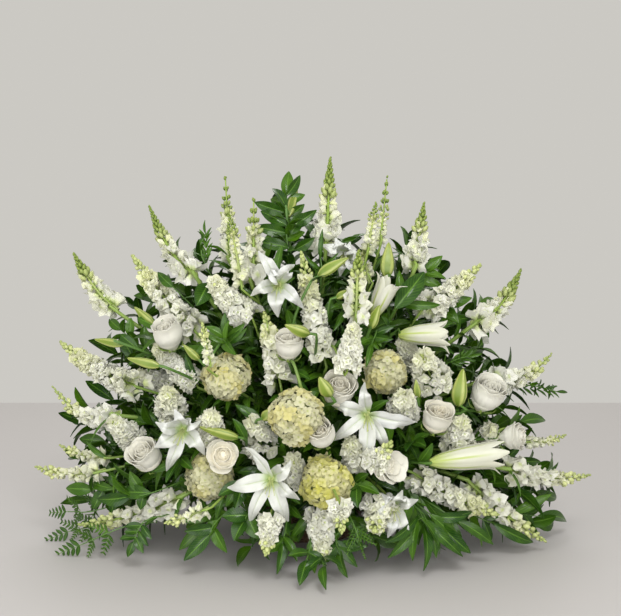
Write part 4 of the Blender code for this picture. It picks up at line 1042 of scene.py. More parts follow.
    def tubes(self, path: Array, radius: Array | float, sides: int, tone: Array) -> None:
        """Round stems: at each station a circle of the given radius, square to the path.

        Args:
            path: The middle lines, (k, m, 3).
            radius: The radius at each station, (m,), or everywhere.
            sides: How many points a ring has.
            tone: The tone of each stem, (k,).
        """
        _tangent, side, up = path_frames(path)
        radius = np.broadcast_to(radius, path.shape[:2])[..., None, None]
        rings = path[:, :, None] + radius * spokes(side[:, :, None], up[:, :, None], turns(sides))
        self.rounds(rings, path[:, 0], path[:, -1], tone)

    def piece(self, name: str, slot: str, finish: Material, *nodes: str) -> None:
        """Make the gathered surfaces one object that rides on the frame.

        Args:
            name: The piece's name.
            slot: The name of its material slot, which is not used.
            finish: Its material.
            nodes: The frame's nodes that it stands for.
        """
        points, marks, quads, tris = (np.concatenate(part) for part in (self._points, self._marks,
                                                                        self._quads, self._tris))
        loops = np.concatenate([quads.ravel(), tris.ravel()])
        starts = np.concatenate([np.arange(len(quads)) * 4, quads.size + np.arange(len(tris)) * 3])
        mesh = bpy.data.meshes.new(name)
        mesh.vertices.add(len(points))
        mesh.vertices.foreach_set("co", points.astype(np.float32).ravel())
        mesh.loops.add(len(loops))
        mesh.loops.foreach_set("vertex_index", loops.astype(np.int32))
        mesh.polygons.add(len(starts))
        mesh.polygons.foreach_set("loop_start", starts.astype(np.int32))
        mesh.update(calc_edges=True)
        layer = mesh.uv_layers.new(name="pattern")
        layer.data.foreach_set("uv", marks[loops, :2].astype(np.float32).ravel())
        tone = mesh.attributes.new("tone", "FLOAT", "POINT")
        tone.data.foreach_set("value", marks[:, 2].astype(np.float32))
        mesh.polygons.foreach_set("use_smooth", np.ones(len(starts), bool))
        mesh.set_sharp_from_angle(angle=math.radians(62.0))
        mesh.materials.append(finish)
        made = bpy.data.objects.new(name, mesh)
        bpy.context.scene.collection.objects.link(made)
        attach(made, "root")
        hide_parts(*nodes)
        LOG.info("%s: %d faces", name, len(starts))


def blades(path: Array, normal: Array, half: Array, lift: Array) -> Array:
    """Grids of leaves or petals along their paths.

    Across the path the surface runs to the half width on either side, and the lift raises it
    along its face: point = path + across * half * t + face * lift.

    Args:
        path: The midribs, (k, m, 3).
        normal: The way each face looks, (k, 3).
        half: The half width at each station, (k, m).
        lift: The height over the midrib's plane, (k, m, n).

    Returns:
        The grids, (k, m, n, 3).
    """
    tangent = unit(np.gradient(path, axis=1))
    across = unit(np.cross(tangent, normal[:, None]))
    face = np.cross(across, tangent)
    t = np.linspace(-1.0, 1.0, lift.shape[2])
    return (path[:, :, None] + across[:, :, None] * (half[..., None] * t)[..., None]
            + face[:, :, None] * lift[..., None])


def leaf_grids(root: Array, tip: Array, normal: Array, width: Array, arch: float, rng: Random,
               stations: int = 7, columns: int = 3) -> Array:
    """Leaves between two points.

    The midrib is a parabola that rises by the arch times the length, the outline is
    width * (sin(pi s^0.8))^0.8, and each half is folded up a little from the midrib, with a
    wave along its edge.

    Args:
        root: Where each leaf starts, (k, 3).
        tip: Where it ends, (k, 3).
        normal: The way its face looks, (k, 3).
        width: Its greatest width, (k,).
        arch: The rise of the midrib as a share of the length.
        rng: The source of the small differences.
        stations: Points along the midrib.
        columns: Points across.

    Returns:
        The grids, (k, stations, columns, 3).
    """
    s = np.linspace(0.0, 1.0, stations)
    length = np.linalg.norm(tip - root, axis=1)
    rise = (arch * length)[:, None] * (4.0 * s * (1.0 - s))
    path = root[:, None] + (tip - root)[:, None] * s[:, None] + unit(normal)[:, None] * rise[..., None]
    half = width[:, None] / 2.0 * np.sin(math.pi * np.clip(s, 0.02, 0.985) ** 0.8) ** 0.8
    t = np.linspace(-1.0, 1.0, columns)
    phase = rng.uniform(0.0, 2.0 * math.pi, (len(root), 1, 1))
    wave = 0.10 * np.sin(2.5 * math.pi * s[:, None] + phase) * np.sign(t)
    lift = half[..., None] * (0.36 * np.abs(t) + wave * t * t)
    return lifted(blades(lifted(path, 0.004), normal, half, lift), 0.002)


# Shader arithmetic.

def operator(kind: str, swapped: bool = False) -> Callable[["Field", Any], "Field"]:
    """An operator of fields that is one step of arithmetic, with its two values swapped or not."""
    def act(self: "Field", other: Any) -> "Field":
        """The result of the step."""
        return self.graph.math(kind, *((other, self) if swapped else (self, other)))
    return act


class Field:
    """A shader socket that takes Python arithmetic."""

    def __init__(self, graph: "Graph", socket: bpy.types.NodeSocket) -> None:
        """Wrap a socket of a graph."""
        self.graph = graph
        self.socket = socket

    __add__ = operator("ADD")
    __radd__ = operator("ADD", True)
    __sub__ = operator("SUBTRACT")
    __rsub__ = operator("SUBTRACT", True)
    __mul__ = operator("MULTIPLY")
    __rmul__ = operator("MULTIPLY", True)


class Graph:
    """The node graph of one material."""

    def __init__(self, name: str, inputs: Optional[dict[str, Any]] = None) -> None:
        """Start a material.

        Args:
            name: Its name.
            inputs: The inputs of its main shader to set.
        """
        self.material = bpy.data.materials.new(name)
        self.material.use_nodes = True
        self.tree = self.material.node_tree
        self.shader = self.tree.nodes["Principled BSDF"]
        for key, value in (inputs or {}).items():
            self.shader.inputs[key].default_value = value

    def node(self, kind: str, settings: dict[str, Any], inputs: dict[Any, Any], output: Any = 0) -> Field:
        """Add any node.

        Args:
            kind: The node's type.
            settings: Its settings, such as a Math node's operation, which are set first.
            inputs: The values or fields of its sockets, by name or number.
            output: The output that is wanted.

        Returns:
            The output as a field.
        """
        made = self.tree.nodes.new(kind)
        for key, value in settings.items():
            setattr(made, key, value)
        for key, value in inputs.items():
            if isinstance(value, Field):
                self.tree.links.new(value.socket, made.inputs[key])
            else:
                made.inputs[key].default_value = value
        return Field(self, made.outputs[output])

    def math(self, operation: str, *values: Any) -> Field:
        """One step of arithmetic on numbers."""
        return self.node("ShaderNodeMath", {"operation": operation}, dict(enumerate(values)))

    def mix(self, factor: Any, *pair: Any) -> Field:
        """A blend of two colours."""
        one, two = (colour if isinstance(colour, Field) else (*colour, 1.0) for colour in pair)
        return self.node("ShaderNodeMix", {"data_type": "RGBA", "clamp_factor": True},
                         {0: factor, 6: one, 7: two}, 2)

    def step(self, low: float, high: float, value: Field) -> Field:
        """An eased step of a value from 0 at low to 1 at high."""
        return self.node("ShaderNodeMapRange", {"interpolation_type": "SMOOTHSTEP"},
                         {0: value, 1: low, 2: high, 3: 0.0, 4: 1.0})

    def own_place(self) -> Field:
        """The piece's own coordinates."""
        return self.node("ShaderNodeTexCoord", {}, {}, "Object")

    def noise(self, scale: float, detail: float = 2.0, vector: Optional[Field] = None) -> Field:
        """Soft noise on a vector, or else on the piece's own coordinates."""
        return self.node("ShaderNodeTexNoise", {},
                         {"Vector": vector or self.own_place(), "Scale": scale, "Detail": detail})

    def pattern(self) -> tuple[Field, Field, Field]:
        """The values that each point of a piece carries.

        Returns:
            Place along, place across and tone.
        """
        uv = self.node("ShaderNodeUVMap", {"uv_map": "pattern"}, {})
        along = self.node("ShaderNodeSeparateXYZ", {}, {0: uv})
        across = Field(self, along.socket.node.outputs[1])
        return along, across, self.node("ShaderNodeAttribute", {"attribute_name": "tone"}, {}, "Fac")

    def finish(self, colour: Field, roughness: Field, bump: Field, depth: float,
               strength: float) -> Material:
        """Feed the main shader.

        Args:
            colour: Its base colour.
            roughness: Its roughness.
            bump: The height of its fine relief.
            depth: The depth of that relief.
            strength: How strongly the relief shows.

        Returns:
            The material.
        """
        normal = self.node("ShaderNodeBump", {}, {"Height": bump, "Distance": depth, "Strength": strength})
        for key, value in (("Base Color", colour), ("Roughness", roughness), ("Normal", normal)):
            self.tree.links.new(value.socket, self.shader.inputs[key])
        return self.material


# Finishes.

@dataclass(frozen=True)
class PetalFinish:
    """Soft petals: a tinted throat, fine veins along them, and a tint on young or shaded ones."""

    name: str
    body: Colour
    throat: Colour
    young: Colour
    reach: float = 0.45
    veins: float = 0.10
    rough: float = 0.55
    sheen: float = 0.15
    groove: float = 0.0

    def material(self) -> Material:
        """Build the material; the groove is a band of the throat's colour up the middle."""
        g = Graph(self.name, {"Sheen Weight": self.sheen, "Subsurface Weight": 0.18,
                              "Subsurface Scale": 0.004, "Subsurface Radius": (1.0, 0.95, 0.8)})
        along, across, tone = g.pattern()
        grain = g.noise(160.0, 3.0)
        lane = g.node("ShaderNodeCombineXYZ", {}, {0: across * 9.0, 1: along * 1.2, 2: tone * 7.0})
        streak = g.noise(2.6, 2.0, lane)
        colour = g.mix(g.step(0.0, self.reach, along), self.throat, self.body)
        if self.groove:
            rib = 1.0 - g.step(0.02, 0.10 + 0.18 * self.groove, g.math("ABSOLUTE", across))
            colour = g.mix(rib * (1.0 - g.step(0.35, 0.9, along)) * self.groove, colour, self.throat)
        colour = g.mix(tone, colour, self.young)
        dull = tuple(c * s for c, s in zip(self.body, (0.80, 0.82, 0.80)))
        colour = g.mix(g.step(0.45, 0.75, streak) * self.veins + g.step(0.5, 0.8, grain) * 0.10,
                       colour, dull)
        return g.finish(colour, grain * 0.2 + (self.rough - 0.1), streak + grain * 0.4, 0.0006, 0.35)


@dataclass(frozen=True)
class LeafFinish:
    """Waxy leaves: deep green, a paler midrib with side veins, and some that are brighter by their tone,
    which in sprays also carries painted light on the higher leaves.
    """

    name: str
    deep: Colour
    bright: Colour
    rib: Colour
    rough: float = 0.34

    def material(self) -> Material:
        """Build the material; side veins are a wave of place along minus half the distance out."""
        g = Graph(self.name, {"Specular IOR Level": 0.15, "Coat Roughness": 0.15, "Coat Weight": 0.28})
        along, across, tone = g.pattern()
        out = g.math("ABSOLUTE", across)
        mottle = g.noise(45.0, 3.0)
        veins = g.math("SINE", (along - out * 0.22) * 68.0) * 0.5 + 0.5
        vein = g.step(0.86, 1.0, veins) * (1.0 - g.step(0.75, 1.0, out))
        middle = 1.0 - g.step(0.04, 0.13, out)
        # The tone mixes in the bright green; for spray leaves it holds painted light that brightens the
        # higher ones.
        colour = g.mix(tone * 0.8 + g.step(0.35, 0.75, mottle) * 0.25, self.deep, self.bright)
        colour = g.mix(middle * 0.55 + vein * 0.22, colour, self.rib)
        return g.finish(colour, mottle * 0.18 + self.rough - 0.05, veins * 0.4 - middle, 0.0008, 0.5)


@dataclass(frozen=True)
class StemFinish:
    """Stems and little buds: green that turns to the tip colour along each."""

    name: str
    base: Colour
    tip: Colour
    pale: Colour
    rough: float = 0.48
    ribs: float = 0.0

    def material(self) -> Material:
        """Build the material; the ribs are the pattern value across, which follows the angle."""
        g = Graph(self.name)
        along, across, tone = g.pattern()
        mottle = g.noise(90.0, 3.0)
        colour = g.mix(g.step(0.1, 0.9, along), self.base, self.tip)
        if self.ribs:
            colour = g.mix(g.step(-0.6, 0.5, across) * self.ribs, colour, self.pale)
            colour = g.mix(g.step(0.78, 0.98, across) * self.ribs, colour, self.base)
        colour = g.mix(tone, colour, self.pale)
        colour = g.mix(g.step(0.5, 0.8, mottle) * 0.35, colour, self.base)
        return g.finish(colour, mottle * 0.2 + self.rough - 0.1, mottle, 0.0005, 0.3)


@dataclass(frozen=True)
class PlainFinish:
    """Willow, plastic and foam: two tones of one colour with grain or pores."""

    name: str
    dark: Colour
    light: Colour
    scale: float
    rough: float
    depth: float
    stretch: float = 1.0

    def material(self) -> Material:
        """Build the material."""
        g = Graph(self.name)
        grown = g.node("ShaderNodeMapping", {}, {"Vector": g.own_place(), "Scale": (1.0, 1.0, self.stretch)})
        grain = g.noise(self.scale, 5.0, grown)
        fine = g.noise(self.scale * 4.0, 2.0, grown)
        colour = g.mix(g.step(0.3, 0.75, grain), self.dark, self.light)
        return g.finish(colour, fine * 0.25 + self.rough - 0.12, grain + fine * 0.5, self.depth, 0.6)


# Blooms.

@dataclass(frozen=True)
class Profile:
    """The form of a small flower, from its heart over its rim to its foot.

    A ring has a radius and a height as shares of half the width and of the depth, a share of
    lobing, and a share of ruffling. The heart and the floor are heights of its two ends.
    """

    rings: tuple[tuple[float, float, float, float], ...]
    heart: float
    floor: float


SNAP_FORM = Profile(((0.30, 0.90, 0.05, 0.05), (0.62, 0.62, 0.08, 0.12), (1.00, 0.94, 0.18, 0.26),
                     (0.42, 0.40, 0.05, 0.03)), 0.84, 0.05)
STOCK_FORM = Profile(((0.30, 0.60, 0.10, 0.05), (0.66, 0.58, 0.08, 0.12), (1.00, 0.80, 0.14, 0.22),
                      (0.48, 0.24, 0.05, 0.03)), 0.5, -0.2)
WHORL_FORM = Profile(((0.38, 1.00, 0.20, 0.14), (0.66, 0.96, 0.26, 0.18), (0.30, 0.50, 0.05, 0.03)),
                     0.7, 0.2)
HYDRANGEA_FORM = Profile(((0.34, 0.74, 0.14, 0.03), (0.72, 0.92, 0.18, 0.07), (1.00, 0.94, 0.22, 0.13),
                          (0.50, 0.58, 0.12, 0.03)), 0.70, -0.4)


@dataclass
class Florets:
    """Many small ruffled flowers, each one closed surface."""

    seed: int
    lobes: int
    samples: int

    def add(self, pile: Pile, form: Profile, foot: Array, out: Array, up: Array, deep: Array,
            width: Array, tone: Array, lean: float = 0.0) -> None:
        """Add florets by one profile.

        The radius of a ring is r (1 + lobing L) with L = 2 |cos(lobes angle / 2)| - 1, round
        petals with a notch between them, and the ruffle is a seeded sum of the first waves of
        the angle, mostly the same for every ring.

        Args:
            pile: Where they go.
            form: Their profile.
            foot: Where each is fixed, (k, 3).
            out: The way each points, (k, 3).
            up: A direction that turns it, (k, 3).
            deep: The depth from foot to mouth, (k,).
            width: The width of the mouth, (k,).
            tone: The tone of each, (k,).
            lean: How far the upper lip stands before the lower one, as a share of half the width.
        """
        k, n = len(foot), self.samples
        rng = np.random.default_rng(self.seed)
        out = unit(out)
        x = unit(up - out * (up * out).sum(axis=1, keepdims=True))
        angle = 2.0 * math.pi * (np.arange(n) + 0.5 * (n // self.lobes % 2)) / n
        spoke = spokes(x[:, None], np.cross(out, x)[:, None], angle)
        lobe = 2.0 * np.abs(np.cos(self.lobes * angle / 2.0)) - 1.0
        order = np.arange(1, 6)[:, None] * angle
        waves = np.stack([np.cos(order), np.sin(order)])
        half = (width / 2.0)[:, None]

        def ruffles(depth: float) -> Array:
            """Seeded sums of the waves, one for the radius and one for the height."""
            return np.einsum("pkwo,won->pkn", rng.normal(0.0, depth, (2, k, 2, 5)), waves)

        frill = ruffles(0.45)
        stack = []
        for radius, height, lobing, ruffle in form.rings:
            push = (frill + ruffles(0.16)) * ruffle
            r = (radius * (1.0 + lobing * lobe) + push[0] * 0.32) * half
            h = height * deep[:, None] + push[1] * half + lean * radius ** 2 * np.cos(angle) * half
            stack.append(foot[:, None] + out[:, None] * h[..., None] + spoke * r[..., None])
        radii = np.array([0.0] + [ring[0] for ring in form.rings] + [0.0])
        along = radii / radii.max() * np.where(np.arange(len(radii)) <= radii.argmax(), 1.0, 0.5)
        pile.rounds(np.stack(stack, axis=1), foot + out * (form.heart * deep)[:, None],
                    foot + out * (form.floor * deep)[:, None], tone, lobe, along)


def ovals(pile: Pile, foot: Array, aim: Array, length: Array, radius: Array, tone: Array) -> None:
    """Little closed buds: rings at 0.18, 0.5 and 0.8 of the length, of radius 0.7, 1 and 0.6.

    Args:
        pile: Where they go.
        foot: Where each is fixed, (k, 3).
        aim: The way each points, (k, 3).
        length: The length of each, (k,).
        radius: The greatest radius of each, (k,).
        tone: The tone of each, (k,).
    """
    side = unit(np.cross(aim, np.array([0.31, 0.52, 0.79])))
    spoke = spokes(side[:, None], np.cross(aim, side)[:, None], turns(6))
    rings = np.stack([foot[:, None] + aim[:, None] * (length * far)[:, None, None]
                      + spoke * (radius * wide)[:, None, None]
                      for far, wide in ((0.18, 0.7), (0.5, 1.0), (0.8, 0.6))], axis=1)
    pile.rounds(rings, foot, foot + aim * length[:, None], tone)


@dataclass(frozen=True)
class Habit:
    """How a sort of spike grows, in shares of its half width unless said otherwise.

    The flowers reach to a share of the length, the taper is what the width loses up to there,
    and the buds' distance apart and largest size are in metres.
    """

    spacing: float
    flower: float
    taper: float
    tilt: float
    spread: float
    apart: float
    largest: float


HABITS = {
    SNAP: Habit(spacing=0.20, flower=0.68, taper=0.42, tilt=0.35, spread=0.42,
                apart=0.0042, largest=0.0130),
    STOCK: Habit(spacing=0.118, flower=0.76, taper=0.48, tilt=0.15, spread=0.46,
                 apart=0.0032, largest=0.0095),
    BUDDED: Habit(spacing=0.26, flower=0.72, taper=0.50, tilt=0.60, spread=0.60,
                  apart=0.0034, largest=0.0110),
}


@dataclass
class SpikeBloom:
    """A flower spike: open florets below, younger ones above, a cone of little buds at the tip."""

    entry: Spike
    base: Vector
    tip: Vector
    seed: int

    @property
    def bend(self) -> float:
        """How far the axis sags, as a share of its level length: a snapdragon's tip grows upright."""
        return 0.14 if self.entry.kind is SNAP and self.entry.low[1] > 200 else 0.05

    def axis(self, share: Array) -> tuple[Array, Array]:
        """The bent axis: a straight line plus a parabola that sags.

        Args:
            share: The shares of the axis that are wanted, (k,).

        Returns:
            The points and directions there, each (k, 3).
        """
        base, tip = arr(self.base), arr(self.tip)
        span = tip - base
        sag = UP * -self.bend * math.hypot(span[0], span[1])
        points = base + span * share[:, None] + sag * (4.0 * share * (1.0 - share))[:, None]
        return points, unit(span + sag * (4.0 - 8.0 * share)[:, None])

    def around(self, share: Array, start: float) -> tuple[Array, Array, Array]:
        """Places round the axis by the golden angle.

        Args:
            share: The share of the axis at which each is, (k,).
            start: The angle of the first.

        Returns:
            The axis points, outward directions and axis directions, each (k, 3).
        """
        points, along = self.axis(share)
        _tangent, side, up = path_frames(points[None])
        return points, unit(spokes(side[0], up[0], start + GOLDEN * np.arange(len(share)))), along

    def build(self, white: Pile, green: Pile) -> None:
        """Add the florets to one pile and the buds to the other.

        The florets of a snapdragon or a spike in bud turn to its sides, away from the viewer's
        line of sight, so that the stalk shows between them. A short stock is a close round head.

        Args:
            white: Where the florets go.
            green: Where the buds and the stalk go.
        """
        rng = np.random.default_rng(self.seed)
        kind, half, habit = self.entry.kind, self.entry.half * MM, HABITS[self.entry.kind]
        length = (self.tip - self.base).length
        flower, taper = habit.flower, habit.taper
        short = kind is STOCK and length < 0.135
        if short:
            flower, taper, half = 0.97, 0.60, half * 1.10
        flower = BUD_FROM.get(self.entry.high, flower)
        count = int(length * flower / (half * habit.spacing) * (2.4 if short else 1.0))
        count = max(26 if short else 8, count)
        share = np.linspace(0.01, flower, count) + rng.normal(0.0, 0.006, count)
        points, out, along = self.around(share, rng.uniform(0.0, ANY_TURN))
        if kind is not STOCK:
            view = unit(arr(EYE) - points)
            view = unit(view - along * (view * along).sum(axis=1, keepdims=True))
            front = (out * view).sum(axis=1, keepdims=True)
            parted = 1.0 if self.entry.high[1] > TALL_FROM else 0.35
            parted = parted * (rng.uniform(0.0, 1.0, (count, 1)) > 0.22)
            out = unit(out - view * front * smoothstep(0.25, 0.95, front) * parted)
            self._stalk(green, half)
        wide = half * (1.0 - taper * share / flower)
        young = smoothstep(0.55 * flower, flower, share)
        aim = unit(out + along * (habit.tilt + 0.5 * young)[:, None] + rng.normal(0.0, 0.16, (count, 3)))
        tone = np.clip(rng.uniform(-0.05, 0.22, count) + (0.25 if short else 0.55) * young, 0.0, 1.0)
        if kind is SNAP:
            size = wide * rng.uniform(1.15, 1.60, count) * (1.0 - 0.30 * young)
            Florets(self.seed, 5, 15).add(white, SNAP_FORM, points, aim, along,
                                          wide * rng.uniform(0.85, 1.1, count), size, tone, 0.35)
            cup = unit(out + along * 0.9)
            ovals(green, points + cup * 0.002, cup, wide * 0.52, wide * 0.17, np.zeros(count))
        elif kind is STOCK:
            size = np.minimum(wide * 0.94, 0.0155) * 2.0 * rng.uniform(0.8, 1.2, count)
            size = size * (0.92 if short else 1.0)
            deep = np.minimum(wide * 0.8, 0.015)
            foot = points + aim * (wide * rng.uniform(0.82, 1.08, count) - deep)[:, None]
            Florets(self.seed, 5, 10 if short else 15).add(white, STOCK_FORM, foot, aim, along, deep,
                                                           size, tone)
            Florets(self.seed + 1, 4, 8).add(white, WHORL_FORM, foot, aim, out, deep * 1.1,
                                             size * 0.75, tone)
        else:
            size = wide * rng.uniform(0.95, 1.25, count)
            Florets(self.seed, 4, 12).add(white, SNAP_FORM, points, aim, along, wide * 0.95, size,
                                          np.clip(tone + 0.25, 0.0, 1.0))
        slim = short and self.entry.high not in BUD_FROM
        self._buds(green, rng, flower, half * (0.55 if slim else 1.0), length)

    def _buds(self, green: Pile, rng: Random, flower: float, half: float, length: float) -> None:
        """The cone of little buds: ovals that shrink and close in towards the tip.

        Args:
            green: Where they go.
            rng: The source of the small differences.
            flower: The share of the spike that is in flower.
            half: The half width of the spike.
            length: Its length.
        """
        low = min(flower - 0.06, 0.90)
        habit = HABITS[self.entry.kind]
        ripe = self.entry.kind is STOCK or self.entry.high[1] < TALL_FROM
        spread = 0.55 if ripe and self.entry.kind is SNAP else habit.spread
        loose = self.entry.high in LOOSE_TIPS
        apart = 0.0026 if loose else habit.apart if ripe else 0.0017
        count = max(14, int(length * (1.0 - low) / apart))
        share = np.linspace(low, 0.985, count)
        if loose:
            whorl = 0.021 / length
            share = low + whorl * np.floor((share - low) / whorl) + rng.uniform(0.0, 0.28 * whorl, count)
        points, out, along = self.around(share, rng.uniform(0.0, ANY_TURN))
        down = (share - low) / (1.0 - low)
        reach = half * spread * (1.0 - down) ** 0.9 + 0.0012 + (0.0016 * (1.0 - down) if loose else 0.0)
        size = np.maximum(half * (0.50 if ripe else 0.40) * (1.0 - 0.62 * down), 0.0058 if ripe else 0.0042)
        size = np.maximum(np.minimum(size, habit.largest if ripe else 1.0), 0.0060 if loose else 0.0)
        size = size * rng.uniform(0.85, 1.15, count)
        aim = unit(out * (1.0 - 0.5 * down)[:, None] + along * (1.0 + down)[:, None])
        foot = points + out * (reach - size * 0.5)[:, None].clip(0.0)
        tone = np.clip(1.05 - 0.55 * down if ripe else 0.62 - 1.6 * down, 0.0, 1.0)
        ovals(green, foot, aim, size * (1.35 if ripe else 1.6), size * 0.5,
              tone * rng.uniform(0.6, 1.1, count))

    def _stalk(self, green: Pile, half: float) -> None:
        """The thick bright stalk that shows between the florets."""
        path, _along = self.axis(np.linspace(-0.06, 0.94, 12))
        green.tubes(path[None], np.linspace(min(half * 0.17, 0.0048), 0.0016, 12), 7, np.array([0.30]))


@dataclass
class RoseBloom:
    """A rose: layers of wrapped petals, rolled back at their edges, round a closed heart."""

    entry: Rose
    seat: Vector
    way: Vector
    seed: int
    count: int = 16

    def __post_init__(self) -> None:
        """Work out its directions, and how far its petals are flared or wrapped."""
        self.foot = arr(self.seat)
        self.axis, self.side, self.up = square(self.way)
        self.flare = float(smoothstep(0.35, 0.9, self.entry.open))
        self.wrapped = 1.0 - float(smoothstep(0.50, 0.56, self.entry.open))

    def build(self, pile: Pile) -> None:
        """Add the petals by the golden angle, from the outside in.

        With s up a petal and t across it, the angle is centre + t * half span, and the way up
        the rose is u = s * (1 - c |t|^2.3). The radius fills by a sine to its widest, half way
        up or higher in an open rose, closes towards the mouth, and rolls out at the rim. The
        outer petals of a closed rose stand higher than the inner ones and wrap them. In an open
        rose they flare to their own rims instead, round a closed bud, or round a hollow where
        it is wide open.

        Args:
            pile: Where they go.
        """
        rng = np.random.default_rng(self.seed)
        opened, flare, half = self.entry.open, self.flare, self.entry.half
        tall = half * (2.15 - 0.45 * opened)
        s = np.linspace(0.0, 1.0, 12)[:, None]
        t = np.linspace(-1.0, 1.0, 9)[None, :]
        start = rng.uniform(0.0, ANY_TURN)
        count = self.count - int(4.0 * flare)
        u = s * (1.0 - (0.18 + 0.12 * flare) * np.abs(t) ** 2.3)
        fill = 0.22 + 0.78 * np.sin(np.clip(u / (0.50 + 0.40 * opened), 0.0, 1.0) * math.pi / 2.0)
        low = (0.62, 0.76, 0.92, 0.88) if opened < 0.9 else (0.80, 0.84, 0.62, 0.50)
        grids = []
        for i in range(count):
            inner = i / (count - 1)
            radius = np.interp(inner, (0.0, 0.30, 0.36, 0.60, 0.66, 1.0), (1.0, 0.88, 0.70, 0.54, 0.44, 0.14))
            radius = float(radius) * (1.0 - 0.24 * opened * (1.0 - inner))
            height = 0.88 + 0.12 * math.sin(math.pi * min(inner * 0.9 + 0.05, 0.6))
            closed = float(np.interp(inner, (0.0, 0.32, 0.45, 1.0), (1.03, 1.0, 0.88, 0.86)))
            height += self.wrapped * (closed - height)
            height += flare * (float(np.interp(inner, (0.0, 0.4, 0.65, 1.0), low)) - height)
            mouth = (0.98 - 0.42 * inner) * (0.64 + 0.46 * opened)
            reach = math.radians(76.0 - 22.0 * flare + 50.0 * inner)
            angle = start + GOLDEN * i + rng.uniform(-0.15, 0.15)
            angle = angle + t * reach * (0.55 + 0.45 * smoothstep(0.0, 0.4, s))
            close = 1.0 + (min(mouth, 1.02) - 1.0) * smoothstep(0.42, 1.0, u)
            body = 0.60 - 0.44 * inner
            rim = float(np.interp(inner, (0.0, 0.4, 0.65, 1.0), (1.02, 0.78, 0.42, 0.10)))
            rim = rim * rng.uniform(0.88, 1.06) * (1.0 - 0.20 * t ** 2)
            rim = body * fill + (rim - body) * smoothstep(0.30, 1.0, u)
            roll = (0.05 + 0.38 * opened) * (1.0 - 0.85 * inner) * rng.uniform(0.7, 1.2)
            curl = roll * smoothstep(0.72, 1.0, s) ** 1.4 * (1.0 - 0.35 * np.abs(t)) * (1.0 - 0.6 * flare)
            r = half * ((1.0 - flare) * radius * fill * close + flare * rim + curl * 0.8 + 0.03 * t * fill)
            r = np.minimum(r, half * 1.05)[..., None]
            wave = 0.024 * np.sin(2.6 * math.pi * t + rng.uniform(0, ANY_TURN)) * smoothstep(0.6, 1.0, s)
            h = tall * (height * rng.uniform(0.96, 1.02) * u - curl * 0.35 * s + wave)
            aside = self.side * rng.normal(0.0, 0.065) + self.up * rng.normal(0.0, 0.065)
            aside = aside * half * min(1.0, 2.0 * inner) * smoothstep(0.3, 1.0, u)[..., None]
            spoke = spokes(self.side, self.up, angle)
            grids.append(self.foot + self.axis * h[..., None] + spoke * r + aside)
        pile.sheets(np.stack(grids), 0.0010, self.entry.blush * (0.25 + 0.65 * np.linspace(0.0, 1.0, count)))
        self._heart(pile, tall * (0.50 if opened >= 0.9 else 0.88 - 0.24 * self.wrapped))

    def _heart(self, pile: Pile, tall: float) -> None:
        """The folded inside that closes the gaps: a cup filled to a low dome, flatter in an open rose.

        Args:
            pile: Where it goes.
            tall: Its height.
        """
        closed = np.array([[0.06, 0.25, 0.50, 0.75, 0.90, 0.97], [0.22, 0.48, 0.72, 0.68, 0.50, 0.26]])
        spread = np.array([[0.06, 0.20, 0.36, 0.56, 0.72, 0.84], [0.26, 0.48, 0.82, 0.68, 0.42, 0.20]])
        far, wide = (closed + (spread - closed) * self.flare)[..., None, None]
        round_it = spokes(self.side, self.up, turns(16)) * self.entry.half
        rings = self.foot + self.axis * far * tall + round_it * wide
        pile.rounds(rings[None], self.foot[None], (self.foot + self.axis * tall)[None],
                    np.array([self.entry.blush]))

    def calyx(self, green: Pile) -> None:
        """The green hip under the rose and its five narrow sepals.

        Args:
            green: Where they go.
        """
        half = self.entry.half
        ovals(green, (self.foot - self.axis * 0.010)[None], self.axis[None], np.array([0.018]),
              np.array([0.0068]), np.array([0.1]))
        spoke = spokes(self.side, self.up, turns(5))
        tip = self.foot + spoke * (half * 0.80) + self.axis * (half * 0.55)
        grids = leaf_grids(self.foot + spoke * 0.004, tip, -self.axis * 0.6 + spoke, np.full(5, 0.009), 0.16,
                           np.random.default_rng(self.seed))
        green.sheets(grids, 0.0006, np.full(5, 0.3))


